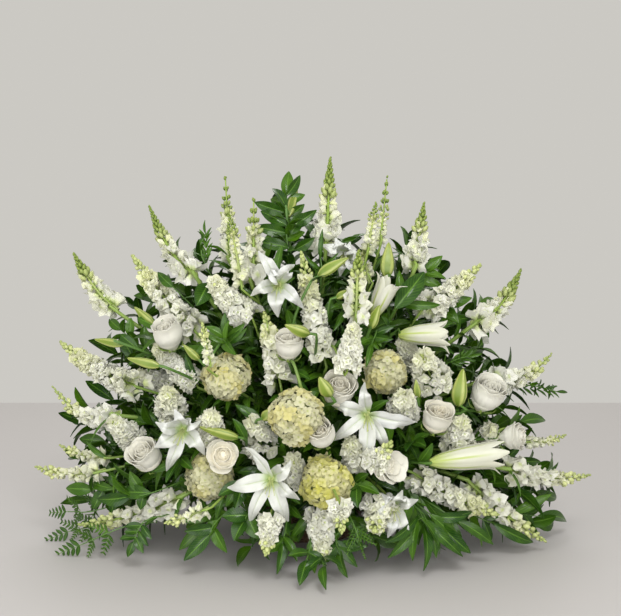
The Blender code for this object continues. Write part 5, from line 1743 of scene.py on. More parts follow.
@dataclass
class HydrangeaBloom:
    """A hydrangea head: four-petalled florets packed over a lumpy ball, on a darker core."""

    entry: Round
    seat: Vector
    way: Vector
    seed: int
    floret: float = 0.0205

    def build(self, florets: Pile, core: Pile) -> None:
        """Florets in even directions over the ball, from its top to short of its bottom.

        The ball is raised by round bosses in seeded directions, exp(-(1 - cos angle) / 0.085),
        and by a slow wave.

        Args:
            florets: Where the florets go.
            core: Where the core goes.
        """
        rng = np.random.default_rng(self.seed)
        half = self.entry.half * 0.90
        count = int(12.6 * half * half * 0.86 / (self.floret ** 2 * 0.52))
        axis, side, up = square(self.way)
        height = 1.0 - 1.72 * (np.arange(count) + 0.5) / count
        flat = np.sqrt(1.0 - height ** 2)[:, None]
        way = spokes(side, up, GOLDEN * np.arange(count)) * flat + axis * height[:, None]
        middle = arr(self.seat) + axis * self.entry.half
        deep = rng.uniform(0.008, 0.011, count)
        bosses = unit(rng.normal(0.0, 1.0, (14, 3)))
        boss = np.exp(-((1.0 - way @ bosses.T) / 0.085)).max(axis=1)
        lump = (0.90 + 0.055 * np.sin(way @ np.array([3.5, 2.5, 3.0]) + self.seed) + 0.15 * boss
                + rng.uniform(-0.035, 0.035, count))
        foot = middle + way * (half * lump - deep)[:, None]
        aim = unit(way + rng.normal(0.0, 0.19, (count, 3)))
        tone = rng.uniform(-0.1, 0.4, count) + 0.55 * np.sin(way @ np.array([2.6, 4.0, 3.4]) + self.seed)
        up = rng.normal(0.0, 1.0, (count, 3))
        Florets(self.seed, 4, 16).add(florets, HYDRANGEA_FORM, foot, aim, up, deep,
                                      self.floret * rng.uniform(0.85, 1.12, count), np.clip(tone, 0, 1))
        self._core(core, middle, half * 0.80)

    @staticmethod
    def _core(core: Pile, middle: Array, radius: float) -> None:
        """The ball of short stalks inside: a sphere, ring by ring.

        Args:
            core: Where it goes.
            middle: Its middle.
            radius: Its radius.
        """
        rise = np.linspace(0.0, math.pi, 12)[1:-1, None, None]
        rings = spokes(RIGHT, AWAY, turns(20)) * np.sin(rise) - UP * np.cos(rise)
        pole = UP[None] * radius
        core.rounds((middle + rings * radius)[None], middle - pole, middle + pole, np.array([0.2]))


@dataclass
class StarBloom:
    """An open lily: three broad and three narrow petals, a green throat and a pistil."""

    entry: Star
    throat: Vector
    seed: int
    stations: int = 20
    columns: int = 11

    def build(self, white: Pile, green: Pile) -> None:
        """Add the petals, the neck and the pistil with its threads.

        The half width of a petal is w * sin(pi s^0.72)^0.80. Across it, the surface has a narrow
        groove in the middle, and its edges are raised near the throat, turned back near the
        tip, and waved. A petal that is seen very short is neither bowed nor waved.

        Args:
            white: Where the petals go.
            green: Where the neck and the pistil go.
        """
        rng = np.random.default_rng(self.seed)
        throat = arr(self.throat)
        paths = flowing(np.stack([arr(p) for p in self.entry.petals(self.throat)]), self.stations)
        s = np.linspace(0.0, 1.0, self.stations)
        full = smoothstep(0.030, 0.075, np.linalg.norm(paths[:, -1] - paths[:, 0], axis=1))[:, None]
        turn = full * rng.uniform(0.5, 1.5, (6, 1)) * smoothstep(0.52, 1.0, s) ** 1.6
        paths += turn[..., None] * (AWAY * 0.022 - UP * 0.008)
        aside = unit(np.cross(paths[:, -1] - paths[:, 0], AWAY))
        bow = full * rng.normal(0.0, 0.0035, (6, 1)) * np.sin(math.pi * s)
        paths += aside[:, None] * bow[..., None]
        broad = np.array([0.0140, 0.0180] * 3)[:, None]
        half = np.maximum(broad * np.sin(math.pi * np.clip(s, 0.03, 0.985) ** 0.72) ** 0.80, 0.0006)
        t = np.linspace(-1.0, 1.0, self.columns)
        groove = -0.16 * np.exp(-(t / 0.16) ** 2)
        cup = (0.50 * (1.0 - s) - 0.60 * s)[:, None] * t ** 2
        phase = rng.uniform(0.0, ANY_TURN, (6, 1, 2))
        phase = np.where(t > 0, phase[:, :, :1], phase[:, :, 1:])
        wave = 0.15 * np.sin(6.0 * math.pi * s[:, None] + phase) * t ** 2
        lift = half[..., None] * (groove + cup + wave * full[..., None])
        normal = 0.05 * UP - AWAY + 0.32 * full * rng.normal(0.0, 1.0, (6, 3)) * (RIGHT + UP)
        white.sheets(blades(paths, normal, half, lift), PETAL_THICK, rng.uniform(0.0, 0.10, 6))
        neck = np.stack([arr(self.throat + LILY_NECK), throat + [0, 0.022, -0.003], throat + [0, 0.010, 0]])
        green.tubes(flowing(neck, 7)[None], np.linspace(0.0045, 0.0072, 7), 10, np.array([0.45]))
        self._pistil(green, rng, throat)

    def _pistil(self, green: Pile, rng: Random, throat: Array) -> None:
        """The pistil with its knob, and six threads round it.

        Args:
            green: Where they go.
            rng: The source of the small differences.
            throat: The middle of the lily.
        """
        drift = arr([Vector((dx * MM, 0.0, dz * MM)) for dx, dz in self.entry.tips]).mean(axis=0)
        lean = unit(np.array([0.0, -1.0, -0.35]) + drift * 10.0)
        spread = spokes(RIGHT, UP, np.append(turns(6), 0.0) + 0.4) * 0.010
        spread[6] = 0.0
        far = np.array([[0.032]] * 6 + [[0.046]])
        end = throat + lean * far + spread * rng.uniform(0.9, 1.3, (7, 1))
        root = throat + AWAY * 0.010 + spread * 0.2
        paths = np.stack([root, (root + end) / 2.0 - spread * 0.12, end], axis=1)
        green.tubes(flowing(paths, 8), np.linspace(0.0012, 0.0007, 8), 5, np.full(7, 0.7))
        ovals(green, end, np.broadcast_to(lean, (7, 3)), np.full(7, 0.005),
              np.array([0.0010] * 6 + [0.0019]), np.full(7, 0.55))


@dataclass
class TrumpetBloom:
    """A half-open lily: six overlapping petals that form a tube and part at the mouth."""

    entry: Trumpet
    base: Vector
    mouth: Vector
    seed: int

    def build(self, white: Pile) -> None:
        """Add the petals.

        The tube fills fast from its foot and then widens slowly to the mouth; the half angle
        narrows to a point past the mouth, where the tip turns out.

        Args:
            white: Where they go.
        """
        rng = np.random.default_rng(self.seed)
        half = self.entry.half
        base = arr(self.base)
        length = float(np.linalg.norm(arr(self.mouth) - base))
        axis, side, up = square(Vector(unit(arr(self.mouth) - base)))
        s = np.linspace(0.0, 1.0, 18)[:, None]
        t = np.linspace(-1.0, 1.0, 9)[None, :]
        narrow = np.clip(1.0 - smoothstep(0.68, 1.02, s), 0.03, 1.0) ** 0.7
        grids = []
        for i in range(6):
            inner = i % 2
            reach = length * (1.0 if inner else 0.97) + 0.010 + 0.006 * rng.uniform(-1.0, 1.0)
            r = half * np.interp(s, (0.0, 0.14, 0.40, 0.72, 0.90, 1.0),
                                 (0.18, 0.48, 0.72, 0.84, 0.96, 1.08 - 0.1 * inner))
            r = r * (0.96 if inner else 1.04) + half * 0.05 * (1.0 - t ** 2)
            r = r + half * rng.uniform(-0.10, 0.55) * smoothstep(0.78, 1.0, s) ** 1.5
            angle = math.pi * i / 3.0 + t * narrow * (0.62 if inner else 0.56)
            far = reach * s - 0.006 * smoothstep(0.9, 1.0, s)
            grids.append(base + axis * far[..., None] + spokes(side, up, angle) * r[..., None])
        white.sheets(np.stack(grids), PETAL_THICK, rng.uniform(0.0, 0.15, 6))


def lily_bud(pile: Pile, base: Vector, tip: Vector, half: float) -> None:
    """A closed lily bud: widest below its middle, with three soft ridges, r (1 + 0.13 cos 3a).

    Args:
        pile: Where it goes.
        base: Where it starts.
        tip: Where it ends.
        half: Its greatest radius.
    """
    s = np.array([0.0, 0.05, 0.14, 0.28, 0.44, 0.62, 0.80, 0.93])[:, None]
    r = np.array([0.26, 0.50, 0.82, 1.02, 0.99, 0.80, 0.50, 0.28])[:, None] * half
    path = (arr(base) + (arr(tip) - arr(base)) * s)[None]
    _tangent, side, up = path_frames(path)
    ridge = np.cos(3.0 * turns(24))
    spoke = spokes(side[:, :, None], up[:, :, None], turns(24))
    rings = path[:, :, None] + spoke * (r * (1.0 + 0.13 * ridge))[None, ..., None]
    pile.rounds(rings, arr(base)[None], arr(tip)[None], np.zeros(1), ridge)


# Greenery.

@dataclass
class Greenery:
    """Stems with their leaves, and leafy sprays, each where the frame has it."""

    plan: Plan
    solids: Solids
    stations: int = 18
    twigs: int = 230
    starts: dict[str, int] = field(default_factory=dict)

    def next_start(self, node: str) -> Vector:
        """The point inside the stub of a bunch from which its next stem grows."""
        self.starts[node] = self.starts.get(node, 0) + 1
        return HUB + self.plan.ways[node] * (CROTCH - 0.0022 * (self.starts[node] % 17) - 0.002)

    def foot(self, green: Pile, node: str, radius: float) -> None:
        """The stub of a node in its hole in the foam.

        Args:
            green: Where it goes.
            node: The node.
            radius: Its radius.
        """
        way = self.plan.ways[node]
        ends = arr([HUB + way * STUB_START, HUB + way * (CROTCH + 0.006)])
        green.tubes(flowing(ends, 6)[None], radius, 8, np.zeros(1))

    def stem(self, green: Pile, path: Sequence[Vector], thick: float, end: float,
             swell: float = 0.0) -> Array:
        """A stem through the points of a path.

        Args:
            green: Where it goes.
            path: The points.
            thick: The radius at the foot.
            end: The radius at the top.
            swell: How much thicker it is in between.

        Returns:
            The middle line, (stations, 3).
        """
        line = flowing(arr(path), self.stations)
        share = np.linspace(0.0, 1.0, self.stations)
        radius = thick + (end - thick) * share
        radius = radius + swell * smoothstep(0.2, 0.5, share) * (1.0 - smoothstep(0.72, 0.95, share))
        green.tubes(line[None], radius, 6 if thick > 0.0025 else 5, np.array([0.15]))
        return line

    def leaves_on(self, leaves: Pile, line: Array, seed: int, size: tuple[float, float],
                  low: float, high: float, every: float = 0.016) -> None:
        """Narrow leaves up a stem by the golden angle, left out where a bloom has the room.

        Args:
            leaves: Where they go.
            line: The stem's middle line, (m, 3).
            seed: The seed of the small differences.
            size: Length and width.
            low: The share of the stem where they start.
            high: The share where they end.
            every: The distance between two.
        """
        rng = np.random.default_rng(seed)
        count = int(length_of(line) * (high - low) / every)
        if count < 1:
            return
        at = np.linspace(low, high, count) * (len(line) - 1)
        root = np.stack([np.interp(at, np.arange(len(line)), line[:, i]) for i in range(3)], axis=1)
        pick = np.clip(at.astype(int), 0, len(line) - 1)
        tangent, side, up = (part[0][pick] for part in path_frames(line[None]))
        out = spokes(side, up, rng.uniform(0.0, ANY_TURN) + GOLDEN * np.arange(count))
        reach = size[0] * rng.uniform(0.7, 1.2, (count, 1))
        way = unit(out + tangent * rng.uniform(0.5, 1.1, (count, 1)) + UP * 0.10)
        tip = root + way * reach - UP * 0.14 * reach
        normal = unit(tangent * 0.8 - out * 0.4 + UP * 0.5)
        width = size[1] * rng.uniform(0.8, 1.25, count)
        tone = np.clip(rng.normal(0.25, 0.22, count), 0.0, 1.0)
        free = self.plan.clear(root[:, None] + (tip - root)[:, None] * np.array([0.45, 0.75, 1.0])[:, None])
        if free.any():
            grids = leaf_grids(root[free], tip[free], normal[free], width[free], 0.10, rng)
            leaves.sheets(grids, LEAFLET_THICK, tone[free])

    def thicket(self, green: Pile, leaves: Pile, node: str) -> None:
        """Leafy twigs that make the dark green between the blooms.

        The twigs of all nodes together point evenly round the dome, each to a seeded depth under
        the flowers, and a node takes those nearest to its own direction. A twig bends round a
        bloom in its way, or is left out.

        Args:
            green: Where the twigs go.
            leaves: Where the leaves go.
            node: The node that takes its share.
        """
        rng = np.random.default_rng(THICKET_SEED)
        nodes = [name for name in self.plan.ways if name.startswith("foliage_")]
        for i in range(self.twigs):
            height = 1.0 - 1.12 * (i + 0.5) / self.twigs
            flat, turn = math.sqrt(1.0 - height * height), GOLDEN * i
            scale, keep = rng.uniform(0.62, 0.93 - 0.10 * max(height, 0.0)), rng.uniform()
            way = (flat * math.cos(turn), flat * math.sin(turn), height)
            tip = DOME_CENTRE + Vector([way[j] * DOME_AXES[j] * scale for j in range(3)])
            tip.z, tip.y = max(tip.z, 0.022), min(tip.y, 0.262)
            nearest = max(nodes, key=lambda name: self.plan.ways[name].dot((tip - HUB).normalized()))
            if nearest != node or (way[1] > 0.35 and keep < 0.5):
                continue
            path = self._open_path(HUB + self.plan.ways[node] * (CROTCH - 0.002 * (i % 15)), tip)
            if path:
                line = self.stem(green, path, TWIG_RADIUS, TWIG_RADIUS * 0.5)
                self.leaves_on(leaves, line, TWIG_SEED + i, (0.076, 0.026), 0.40, 1.0, 0.013)

    def single(self, green: Pile, leaves: Pile, node: str, entry: tuple[str, Place, Place, float, float],
               seed: int) -> None:
        """One large leaf, a little deeper where a bloom is in its way.

        Its stalk starts at the nearest twig of a spray of its bunch, or is a twig of its own
        where none is near.

        Args:
            green: Where the stalk goes.
            leaves: Where the leaf goes.
            node: The node that takes it.
            entry: Its row of the plan.
            seed: The seed of the small differences.
        """
        bunch, low, high, width, scale = entry
        rng = np.random.default_rng(seed)
        for deeper in (0.0, 0.04, 0.08, 0.12):
            root, tip = on_dome(low, scale - deeper, 0.01), on_dome(high, scale - deeper + 0.03, 0.01)
            near = [self._on_twig(spray, root) for spray in SPRAYS if spray.bunch == bunch]
            start = min(near, key=lambda point: (point - root).length)
            close = (start - root).length < 0.035
            path = [start, root] if close else self._open_path(self.next_start(node), root)
            if path and self.plan.clear(arr([root.lerp(tip, far) for far in (0.3, 0.65, 1.0)])[None])[0]:
                self.stem(green, path, TWIG_RADIUS * (0.6 if close else 1.0), TWIG_RADIUS * 0.6)
                normal = unit(arr(EYE - root))[None] + rng.normal(0.0, 0.22, (1, 3))
                grids = leaf_grids(arr(root)[None], arr(tip)[None], normal, np.array([width * MM]),
                                   0.10, rng, 13, 7)
                leaves.sheets(grids, LEAF_THICK, np.array([0.08]))
                return

    @staticmethod
    def _on_twig(spray: Spray, point: Vector) -> Vector:
        """The place on a twig nearest to a point.

        Args:
            spray: The spray whose twig it is.
            point: The point.

        Returns:
            The place.
        """
        base, tip = spray.ends()
        span = tip - base
        return base.lerp(tip, min(max((point - base).dot(span) / span.length_squared, 0.0), 0.85))

    def _open_path(self, start: Vector, end: Vector) -> Optional[list[Vector]]:
        """The first path between two points that meets no bloom in its outer part."""
        for path in self.solids.routes(start, end, (0.024, 0.050, 0.085, 0.125), (0.55,)):
            if self.plan.clear(flowing(arr(path), 16)[None, 6:], 1.0)[0]:
                return path
        return None

    def spray(self, green: Pile, leaves: Pile, node: str, ends: tuple[Vector, Vector],
              size: tuple[float, float], pairs: int, normal: Vector, kind: LeafKind, seed: int) -> None:
        """A leafy spray: its twig, its pairs of leaves and the leaf at its tip.

        A leaf is as long as the frame has it, or short where the frame leaves it out.

        Args:
            green: Where the twig goes.
            leaves: Where the leaves go.
            node: The node that holds the spray.
            ends: The base and tip of its leafy part.
            size: Length and width of a leaf.
            pairs: How many pairs it has in the frame.
            normal: The way the leaves look.
            kind: The sort of leaf.
            seed: The seed of the small differences.
        """
        base, tip = ends
        length, width = size
        route = self.solids.route(node, self.next_start(node), base)
        line = self.stem(green, route + [tip], TWIG_RADIUS, TWIG_RADIUS * 0.55)
        along = (tip - base).normalized()
        across = along.cross(normal.normalized()).normalized()
        face = across.cross(along)
        step = (tip - base).length / (pairs + 0.6)
        many = 2 if kind is SPRIG else 1
        rise, spread, wider = {SPRIG: (0.86, 0.50, 0.52), BROAD: (0.50, 0.86, 1.14),
                               LANCE: (0.72, 0.68, 0.94), FERN: (0.70, 0.70, 1.0)}[kind]
        made: list[tuple[Vector, Vector, float]] = []
        for i in range(pairs * many):
            root = base + along * (step * ((i + 0.5) / many + 0.35))
            for side in (-1.0, 1.0):
                way = (along * 0.66 + across * (0.74 * side) + face * 0.10).normalized()
                share = self._held(node, root, way, face, length) if many == 1 else 0.8
                way = (along * rise + across * (spread * side) + face * 0.10).normalized()
                made.append((root, root + way * (length * share) - face * (length * share * 0.10), share))
        made.append((tip, tip + along * length - face * (length * 0.08), 1.0))
        self._leaves(leaves, made, face, width * wider, kind, seed)
        if kind is not FERN:
            low = 1.0 - min(0.9, ((tip - base).length + 0.13) / length_of(line))
            reach, slim, every = (0.8, 0.42, 0.013) if kind is SPRIG else (0.95, 0.9, 0.020)
            self.leaves_on(leaves, line, seed + 50, (length * reach, width * slim), low, 0.97, every)

    def _held(self, node: str, root: Vector, way: Vector, face: Vector, length: float) -> float:
        """The share of its full length that a leaf has in the frame, or has room for.

        Args:
            node: The node that holds the spray.
            root: Where the leaf starts.
            way: The way it grows.
            face: The way it looks.
            length: Its full length.

        Returns:
            The share.
        """
        for share in (1.0, 0.75, 0.5):
            size = length * share
            if self.solids.near(node, root + way * size - face * (size * 0.10), 0.004):
                return share
        for share in (1.0, 0.75):
            if self.plan.clear(arr([root + way * (length * share * far) for far in (0.5, 1.0)])[None])[0]:
                return share
        return 0.45

    @staticmethod
    def _leaves(leaves: Pile, made: Sequence[tuple[Vector, Vector, float]], face: Vector, width: float,
                kind: LeafKind, seed: int) -> None:
        """Add the leaves of a spray, whole or divided into leaflets.

        Args:
            leaves: Where they go.
            made: The root and tip of each, and the share of its full length.
            face: The way they look.
            width: The width of a whole leaf.
            kind: The sort of leaf.
            seed: The seed of the small differences.
        """
        rng = np.random.default_rng(seed)
        root, tip, share = (np.array(part, dtype=float) for part in zip(*made))
        normal = arr(face) + rng.normal(0.0, 0.30, root.shape)
        tip = tip + rng.normal(0.0, 0.07, tip.shape) * np.linalg.norm(tip - root, axis=1)[:, None]
        tip = lifted(tip, FLOOR_CLEAR)
        # Painted light: leaves higher up get a brighter tone, as if the top of the arrangement were lit more
        # than its lower parts.
        painted_top_light = 0.42 * smoothstep(0.05, 0.66, root[:, 2])
        tone = np.clip(rng.normal(0.02, 0.16, len(made)) + painted_top_light, 0.0, 1.0)
        if kind is not FERN:
            arch, slim = (0.13, 0.92) if kind is LANCE else (0.08, 1.0)
            grids = leaf_grids(root, tip, normal, width * slim * (0.5 + 0.5 * share), arch, rng, 11, 5)
            leaves.sheets(grids, LEAF_THICK, tone)
            return
        tip = lifted(root + (tip - root) * 1.35, FLOOR_CLEAR)
        far = np.linspace(0.12, 0.92, 5)
        spot = root[:, None] + (tip - root)[:, None] * far[:, None]
        way = unit(tip - root)[:, None]
        across = unit(np.cross(way, normal[:, None]))
        out = width * np.linalg.norm(tip - root, axis=1)[:, None] / 0.046 * (1.05 - 0.65 * far)
        for side in (-1.0, 1.0):
            end = spot + (way * 0.80 + across * side) * out[..., None] * 0.85
            grids = leaf_grids(spot.reshape(-1, 3), end.reshape(-1, 3), np.repeat(normal, len(far), axis=0),
                               out.ravel() * 0.44, 0.0, rng)
            leaves.sheets(grids, LEAFLET_THICK, np.repeat(tone + 0.10, len(far)))
        leaves.tubes(flowing(np.stack([root, tip], axis=1), 5), 0.0008, 5, tone + 0.3)


# Basket.

@dataclass
class WovenBasket:
    """A low round willow basket: upright stakes, wavy weavers, a plaited rim and a woven base."""

    stakes: int = 26
    rows: int = 17
    rings: int = 15
    weaver: float = 0.0036
    stake: float = 0.0030
    strand: float = 0.0040
    stick: float = 0.0028
    sway: float = 0.0030
    plait: float = 0.0042
    twists: int = 20
    sole: float = 0.0052

    def radius(self, height: Array) -> Array:
        """The middle radius of the wall at a height."""
        return BASE_RADIUS - 0.006 + (RIM_RADIUS - BASE_RADIUS) * height / RIM_HEIGHT

    def build(self, finish: Material) -> None:
        """Make the basket one piece that stands for its node.

        Args:
            finish: Its material.
        """
        pile = Pile()
        self._wall(pile)
        self._rim(pile)
        self._base(pile)
        pile.piece("basket_weave", "willow", finish, "basket")

    def _hoops(self, pile: Pile, radius: Array, height: Array, thick: float, tone: Array) -> None:
        """Closed hoops of rod round the upright axis.

        Args:
            pile: Where they go.
            radius: The radius of each middle line at each step, (k, m).
            height: Its height at each step, (k, m).
            thick: The radius of the rod.
            tone: The tone of each hoop, (k,).
        """
        radius, height = np.broadcast_arrays(radius, height)
        level = spokes(RIGHT, AWAY, turns(radius.shape[1]))
        middle = level * radius[..., None] + UP * height[..., None]
        pile.loops(middle[:, :, None] + thick * spokes(level[:, None], UP, turns(5)), tone)

    def _wall(self, pile: Pile) -> None:
        """Weavers pass in front of one stake and behind the next: r + a cos(stakes/2 * turn).

        Args:
            pile: Where they go.
        """
        height = np.linspace(0.010, RIM_HEIGHT - 0.020, self.rows)[:, None]
        wave = self.sway * self._signs(self.rows) * np.cos(self.stakes / 2 * turns(self.stakes * 4))
        tone = np.random.default_rng(5).uniform(0.0, 1.0, self.rows)
        self._hoops(pile, self.radius(height) + wave, height, self.weaver, tone)
        steps = np.linspace(0.006, RIM_HEIGHT - 0.010, 8)[:, None]
        path = spokes(RIGHT, AWAY, turns(self.stakes))[:, None] * self.radius(steps) + UP * steps
        pile.tubes(path, self.stake, 6, np.full(self.stakes, 0.4))

    def _rim(self, pile: Pile) -> None:
        """Three strands plaited round the rim, a third of a turn apart.

        Args:
            pile: Where they go.
        """
        turn = self.twists * turns(160) + turns(3)[:, None]
        radius = RIM_RADIUS - 0.003 + self.plait * np.cos(turn)
        height = RIM_HEIGHT - 0.0085 + self.plait * np.sin(turn)
        self._hoops(pile, radius, height, self.strand, np.array([0.2, 0.5, 0.8]))

    def _base(self, pile: Pile) -> None:
        """Rings of the base in and out of its crossed sticks.

        Args:
            pile: Where they go.
        """
        radius = np.linspace(0.012, BASE_RADIUS - 0.008, self.rings)[:, None]
        height = self.sole + 0.0012 * self._signs(self.rings) * np.cos(8 * turns(64))
        self._hoops(pile, radius, height, self.weaver, np.random.default_rng(6).uniform(0.0, 1.0, self.rings))
        way = spokes(RIGHT, AWAY, turns(8)[:4]) * (BASE_RADIUS - 0.006)
        up = UP * self.sole
        pile.tubes(np.stack([up - way, up + way * 0.01, up + way], axis=1), self.stick, 6, np.full(4, 0.3))

    @staticmethod
    def _signs(count: int) -> Array:
        """Plus and minus one by turns, one for each row."""
        return np.where(np.arange(count) % 2 == 0, 1.0, -1.0)[:, None]


def foam_dome(finish: Material) -> None:
    """The foam: a straight foot and a quarter-round dome.

    Args:
        finish: Its material.
    """
    low = 0.0125
    rise = np.linspace(0.02, 0.97, 9) * math.pi / 2.0
    radius = np.concatenate([[0.096, FOAM_RADIUS - 0.002], (FOAM_RADIUS - 0.002) * np.cos(rise)])
    height = np.concatenate([[low, 0.118], 0.125 + (FOAM_TOP - 0.127) * np.sin(rise)])
    rings = spokes(RIGHT, AWAY, turns(48)) * radius[:, None, None] + UP * height[:, None, None]
    pile = Pile()
    pile.rounds(rings[None], UP[None] * low, UP[None] * (FOAM_TOP - 0.001), np.array([0.5]))
    pile.piece("foam_dome", "floral_foam", finish, "foam")


# The whole object.

FINISHES = (
    PetalFinish("petal_white", body=(0.68, 0.68, 0.60), throat=(0.52, 0.60, 0.25),
                young=(0.63, 0.65, 0.28), reach=0.55),
    PetalFinish("lily_white", body=(0.575, 0.587, 0.565), throat=(0.33, 0.47, 0.09),
                young=(0.66, 0.70, 0.40), reach=0.26, veins=0.22, rough=0.42, sheen=0.10, groove=0.3),
    PetalFinish("lily_half_open", body=(0.58, 0.58, 0.49), throat=(0.34, 0.43, 0.06),
                young=(0.66, 0.70, 0.34), reach=0.42, veins=0.25, rough=0.42, sheen=0.10, groove=1.0),
    PetalFinish("rose_cream", body=(0.68, 0.67, 0.59), throat=(0.60, 0.60, 0.38),
                young=(0.74, 0.64, 0.43), reach=0.22, veins=0.04, rough=0.50, sheen=0.12),
    PetalFinish("hydrangea_cream", body=(0.485, 0.475, 0.290), throat=(0.32, 0.36, 0.10),
                young=(0.50, 0.455, 0.145), reach=0.40),
    PetalFinish("hydrangea_lime", body=(0.53, 0.51, 0.25), throat=(0.32, 0.36, 0.045),
                young=(0.48, 0.46, 0.060), reach=0.45),
    LeafFinish("leaf_green", deep=(0.011, 0.045, 0.004), bright=(0.085, 0.195, 0.008),
               rib=(0.13, 0.27, 0.030), rough=0.30),
    StemFinish("stem_green", base=(0.05, 0.13, 0.02), tip=(0.26, 0.38, 0.06), pale=(0.36, 0.46, 0.13)),
    StemFinish("twig_green", base=(0.03, 0.085, 0.015), tip=(0.075, 0.17, 0.025), pale=(0.14, 0.26, 0.05)),
    StemFinish("bud_tips", base=(0.10, 0.17, 0.022), tip=(0.24, 0.31, 0.045), pale=(0.60, 0.64, 0.28)),
    StemFinish("lily_buds", base=(0.11, 0.18, 0.016), tip=(0.21, 0.28, 0.036), pale=(0.38, 0.42, 0.12),
               rough=0.38, ribs=0.85),
    PlainFinish("willow", dark=(0.035, 0.020, 0.011), light=(0.13, 0.080, 0.042), scale=60.0, rough=0.55,
                depth=0.0008, stretch=0.4),
    PlainFinish("liner_plastic", dark=(0.012, 0.012, 0.012), light=(0.028, 0.028, 0.028), scale=30.0,
                rough=0.45, depth=0.0002),
    PlainFinish("floral_foam", dark=(0.020, 0.062, 0.026), light=(0.050, 0.13, 0.060), scale=300.0,
                rough=0.9, depth=0.0012),
)


class Arrangement:
    """The whole object, built node by node."""

    def __init__(self) -> None:
        """Place everything and make the finishes."""
        self.plan = Plan()
        self.solids = Solids()
        self.green = Greenery(self.plan, self.solids)
        self.look = {finish.name: finish.material() for finish in FINISHES}

    def build(self) -> None:
        """Build every piece in order."""
        WovenBasket().build(self.look["willow"])
        foam_dome(self.look["floral_foam"])
        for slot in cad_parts["liner"].material_slots:
            slot.material = self.look["liner_plastic"]
        self._spikes()
        self._roses()
        self._hydrangeas()
        self._lilies()
        self._bunches()
        self._back()

    def _spikes(self) -> None:
        """Every spike node: its florets, its little buds, and its stems with their leaves."""
        for node in dict.fromkeys(entry.node for entry in SPIKES):
            white, tips, stems, leaves = Pile(), Pile(), Pile(), Pile()
            self.green.foot(stems, node, STEM_RADIUS)
            for i, entry in enumerate(e for e in SPIKES if e.node == node):
                seed = SPIKE_SEED + SPIKES.index(entry)
                base, tip = self.plan.ends[entry]
                bloom = SpikeBloom(entry, base, tip, seed)
                bloom.build(white, tips)
                start = HUB + self.plan.ways[node] * (CROTCH - (0.012 if i else 0.0))
                path = self.solids.route(node, start, collar(base, tip))
                path = path + [spike_point(base, tip, share, bloom.bend) for share in (0.0, 0.35, 0.7, 0.97)]
                swell = 0.0020 if entry.kind is SNAP else 0.0003
                line = self.green.stem(stems, path, STEM_RADIUS * 1.2, 0.0016, swell)
                self.green.leaves_on(leaves, line, seed, (0.066, 0.015), 0.18, 0.62)
            white.piece(node + "_florets", "petal_white", self.look["petal_white"], node)
            tips.piece(node + "_tips", "petal_white", self.look["bud_tips"], node)
            stems.piece(node + "_stems", "leaf_green", self.look["stem_green"], node)
            leaves.piece(node + "_leaves", "leaf_green", self.look["leaf_green"], node)

    def _roses(self) -> None:
        """Every rose with its calyx."""
        for i, entry in enumerate(ROSES):
            petals, green = Pile(), Pile()
            bloom = RoseBloom(entry, *entry.turned(*self.plan.ends[entry]), ROSE_SEED + i)
            bloom.build(petals)
            bloom.calyx(green)
            if entry.node == "rose_upper_centre":
                stalk = [bloom.seat] + [on_dome(place, scale) for place, scale in ROSE_STALK]
                green.tubes(flowing(arr(stalk), 16)[None], 0.0034, 8, np.array([0.2]))
            petals.piece(entry.node + "_petals", "rose_cream", self.look["rose_cream"], entry.node)
            green.piece(entry.node + "_calyx", "leaf_green", self.look["stem_green"], entry.node)

    def _hydrangeas(self) -> None:
        """Every hydrangea head with its core."""
        for i, entry in enumerate(HYDRANGEAS):
            florets, core = Pile(), Pile()
            HydrangeaBloom(entry, *self.plan.ends[entry], HYDRANGEA_SEED + i).build(florets, core)
            slot = "hydrangea_lime" if entry.node == "hydrangea_front" else "hydrangea_cream"
            florets.piece(entry.node + "_florets", slot, self.look[slot], entry.node)
            core.piece(entry.node + "_core", slot, self.look["bud_tips"], entry.node)

    def _lilies(self) -> None:
        """Every open and half-open lily."""
        for i, entry in enumerate(STARS):
            petals, green = Pile(), Pile()
            StarBloom(entry, self.plan.ends[entry][0], STAR_SEED + i).build(petals, green)
            petals.piece(entry.node + "_petals", "petal_white", self.look["lily_white"], entry.node)
            green.piece(entry.node + "_pistil", "petal_white", self.look["bud_tips"], entry.node)
        for i, entry in enumerate(TRUMPETS):
            petals = Pile()
            TrumpetBloom(entry, *self.plan.ends[entry], TRUMPET_SEED + i).build(petals)
            petals.piece(entry.node + "_petals", "petal_white", self.look["lily_half_open"], entry.node)

    def _bunches(self) -> None:
        """Every green bunch: stems to the blooms, buds and leafy sprays."""
        for name in BUNCHES:
            node = "foliage_" + name
            stems, leaves, buds = Pile(), Pile(), Pile()
            self.green.foot(stems, node, STUB_RADIUS)
            for i, (seat, way, top) in enumerate(self.plan.seats(name)):
                path = self.solids.route(node, self.green.next_start(node), seat - way * COLLAR) + [top]
                line = self.green.stem(stems, path, STEM_RADIUS, STEM_RADIUS)
                self.green.leaves_on(leaves, line, STEM_SEED + i, (0.070, 0.022), 0.25, 0.93)
            for entry in BUDS:
                if entry.bunch == name:
                    lily_bud(buds, *self.plan.ends[entry], entry.half)
            for i, entry in enumerate(SPRAYS):
                if entry.bunch == name:
                    self._spray(stems, leaves, node, entry, SPRAY_SEED + i)
            for i, entry in enumerate(LEAVES):
                if entry[0] == name:
                    self.green.single(stems, leaves, node, entry, LEAF_SEED + i)
            self._close(stems, leaves, node)
            if any(entry.bunch == name for entry in BUDS):
                buds.piece(node + "_buds", "leaf_green", self.look["lily_buds"], node)

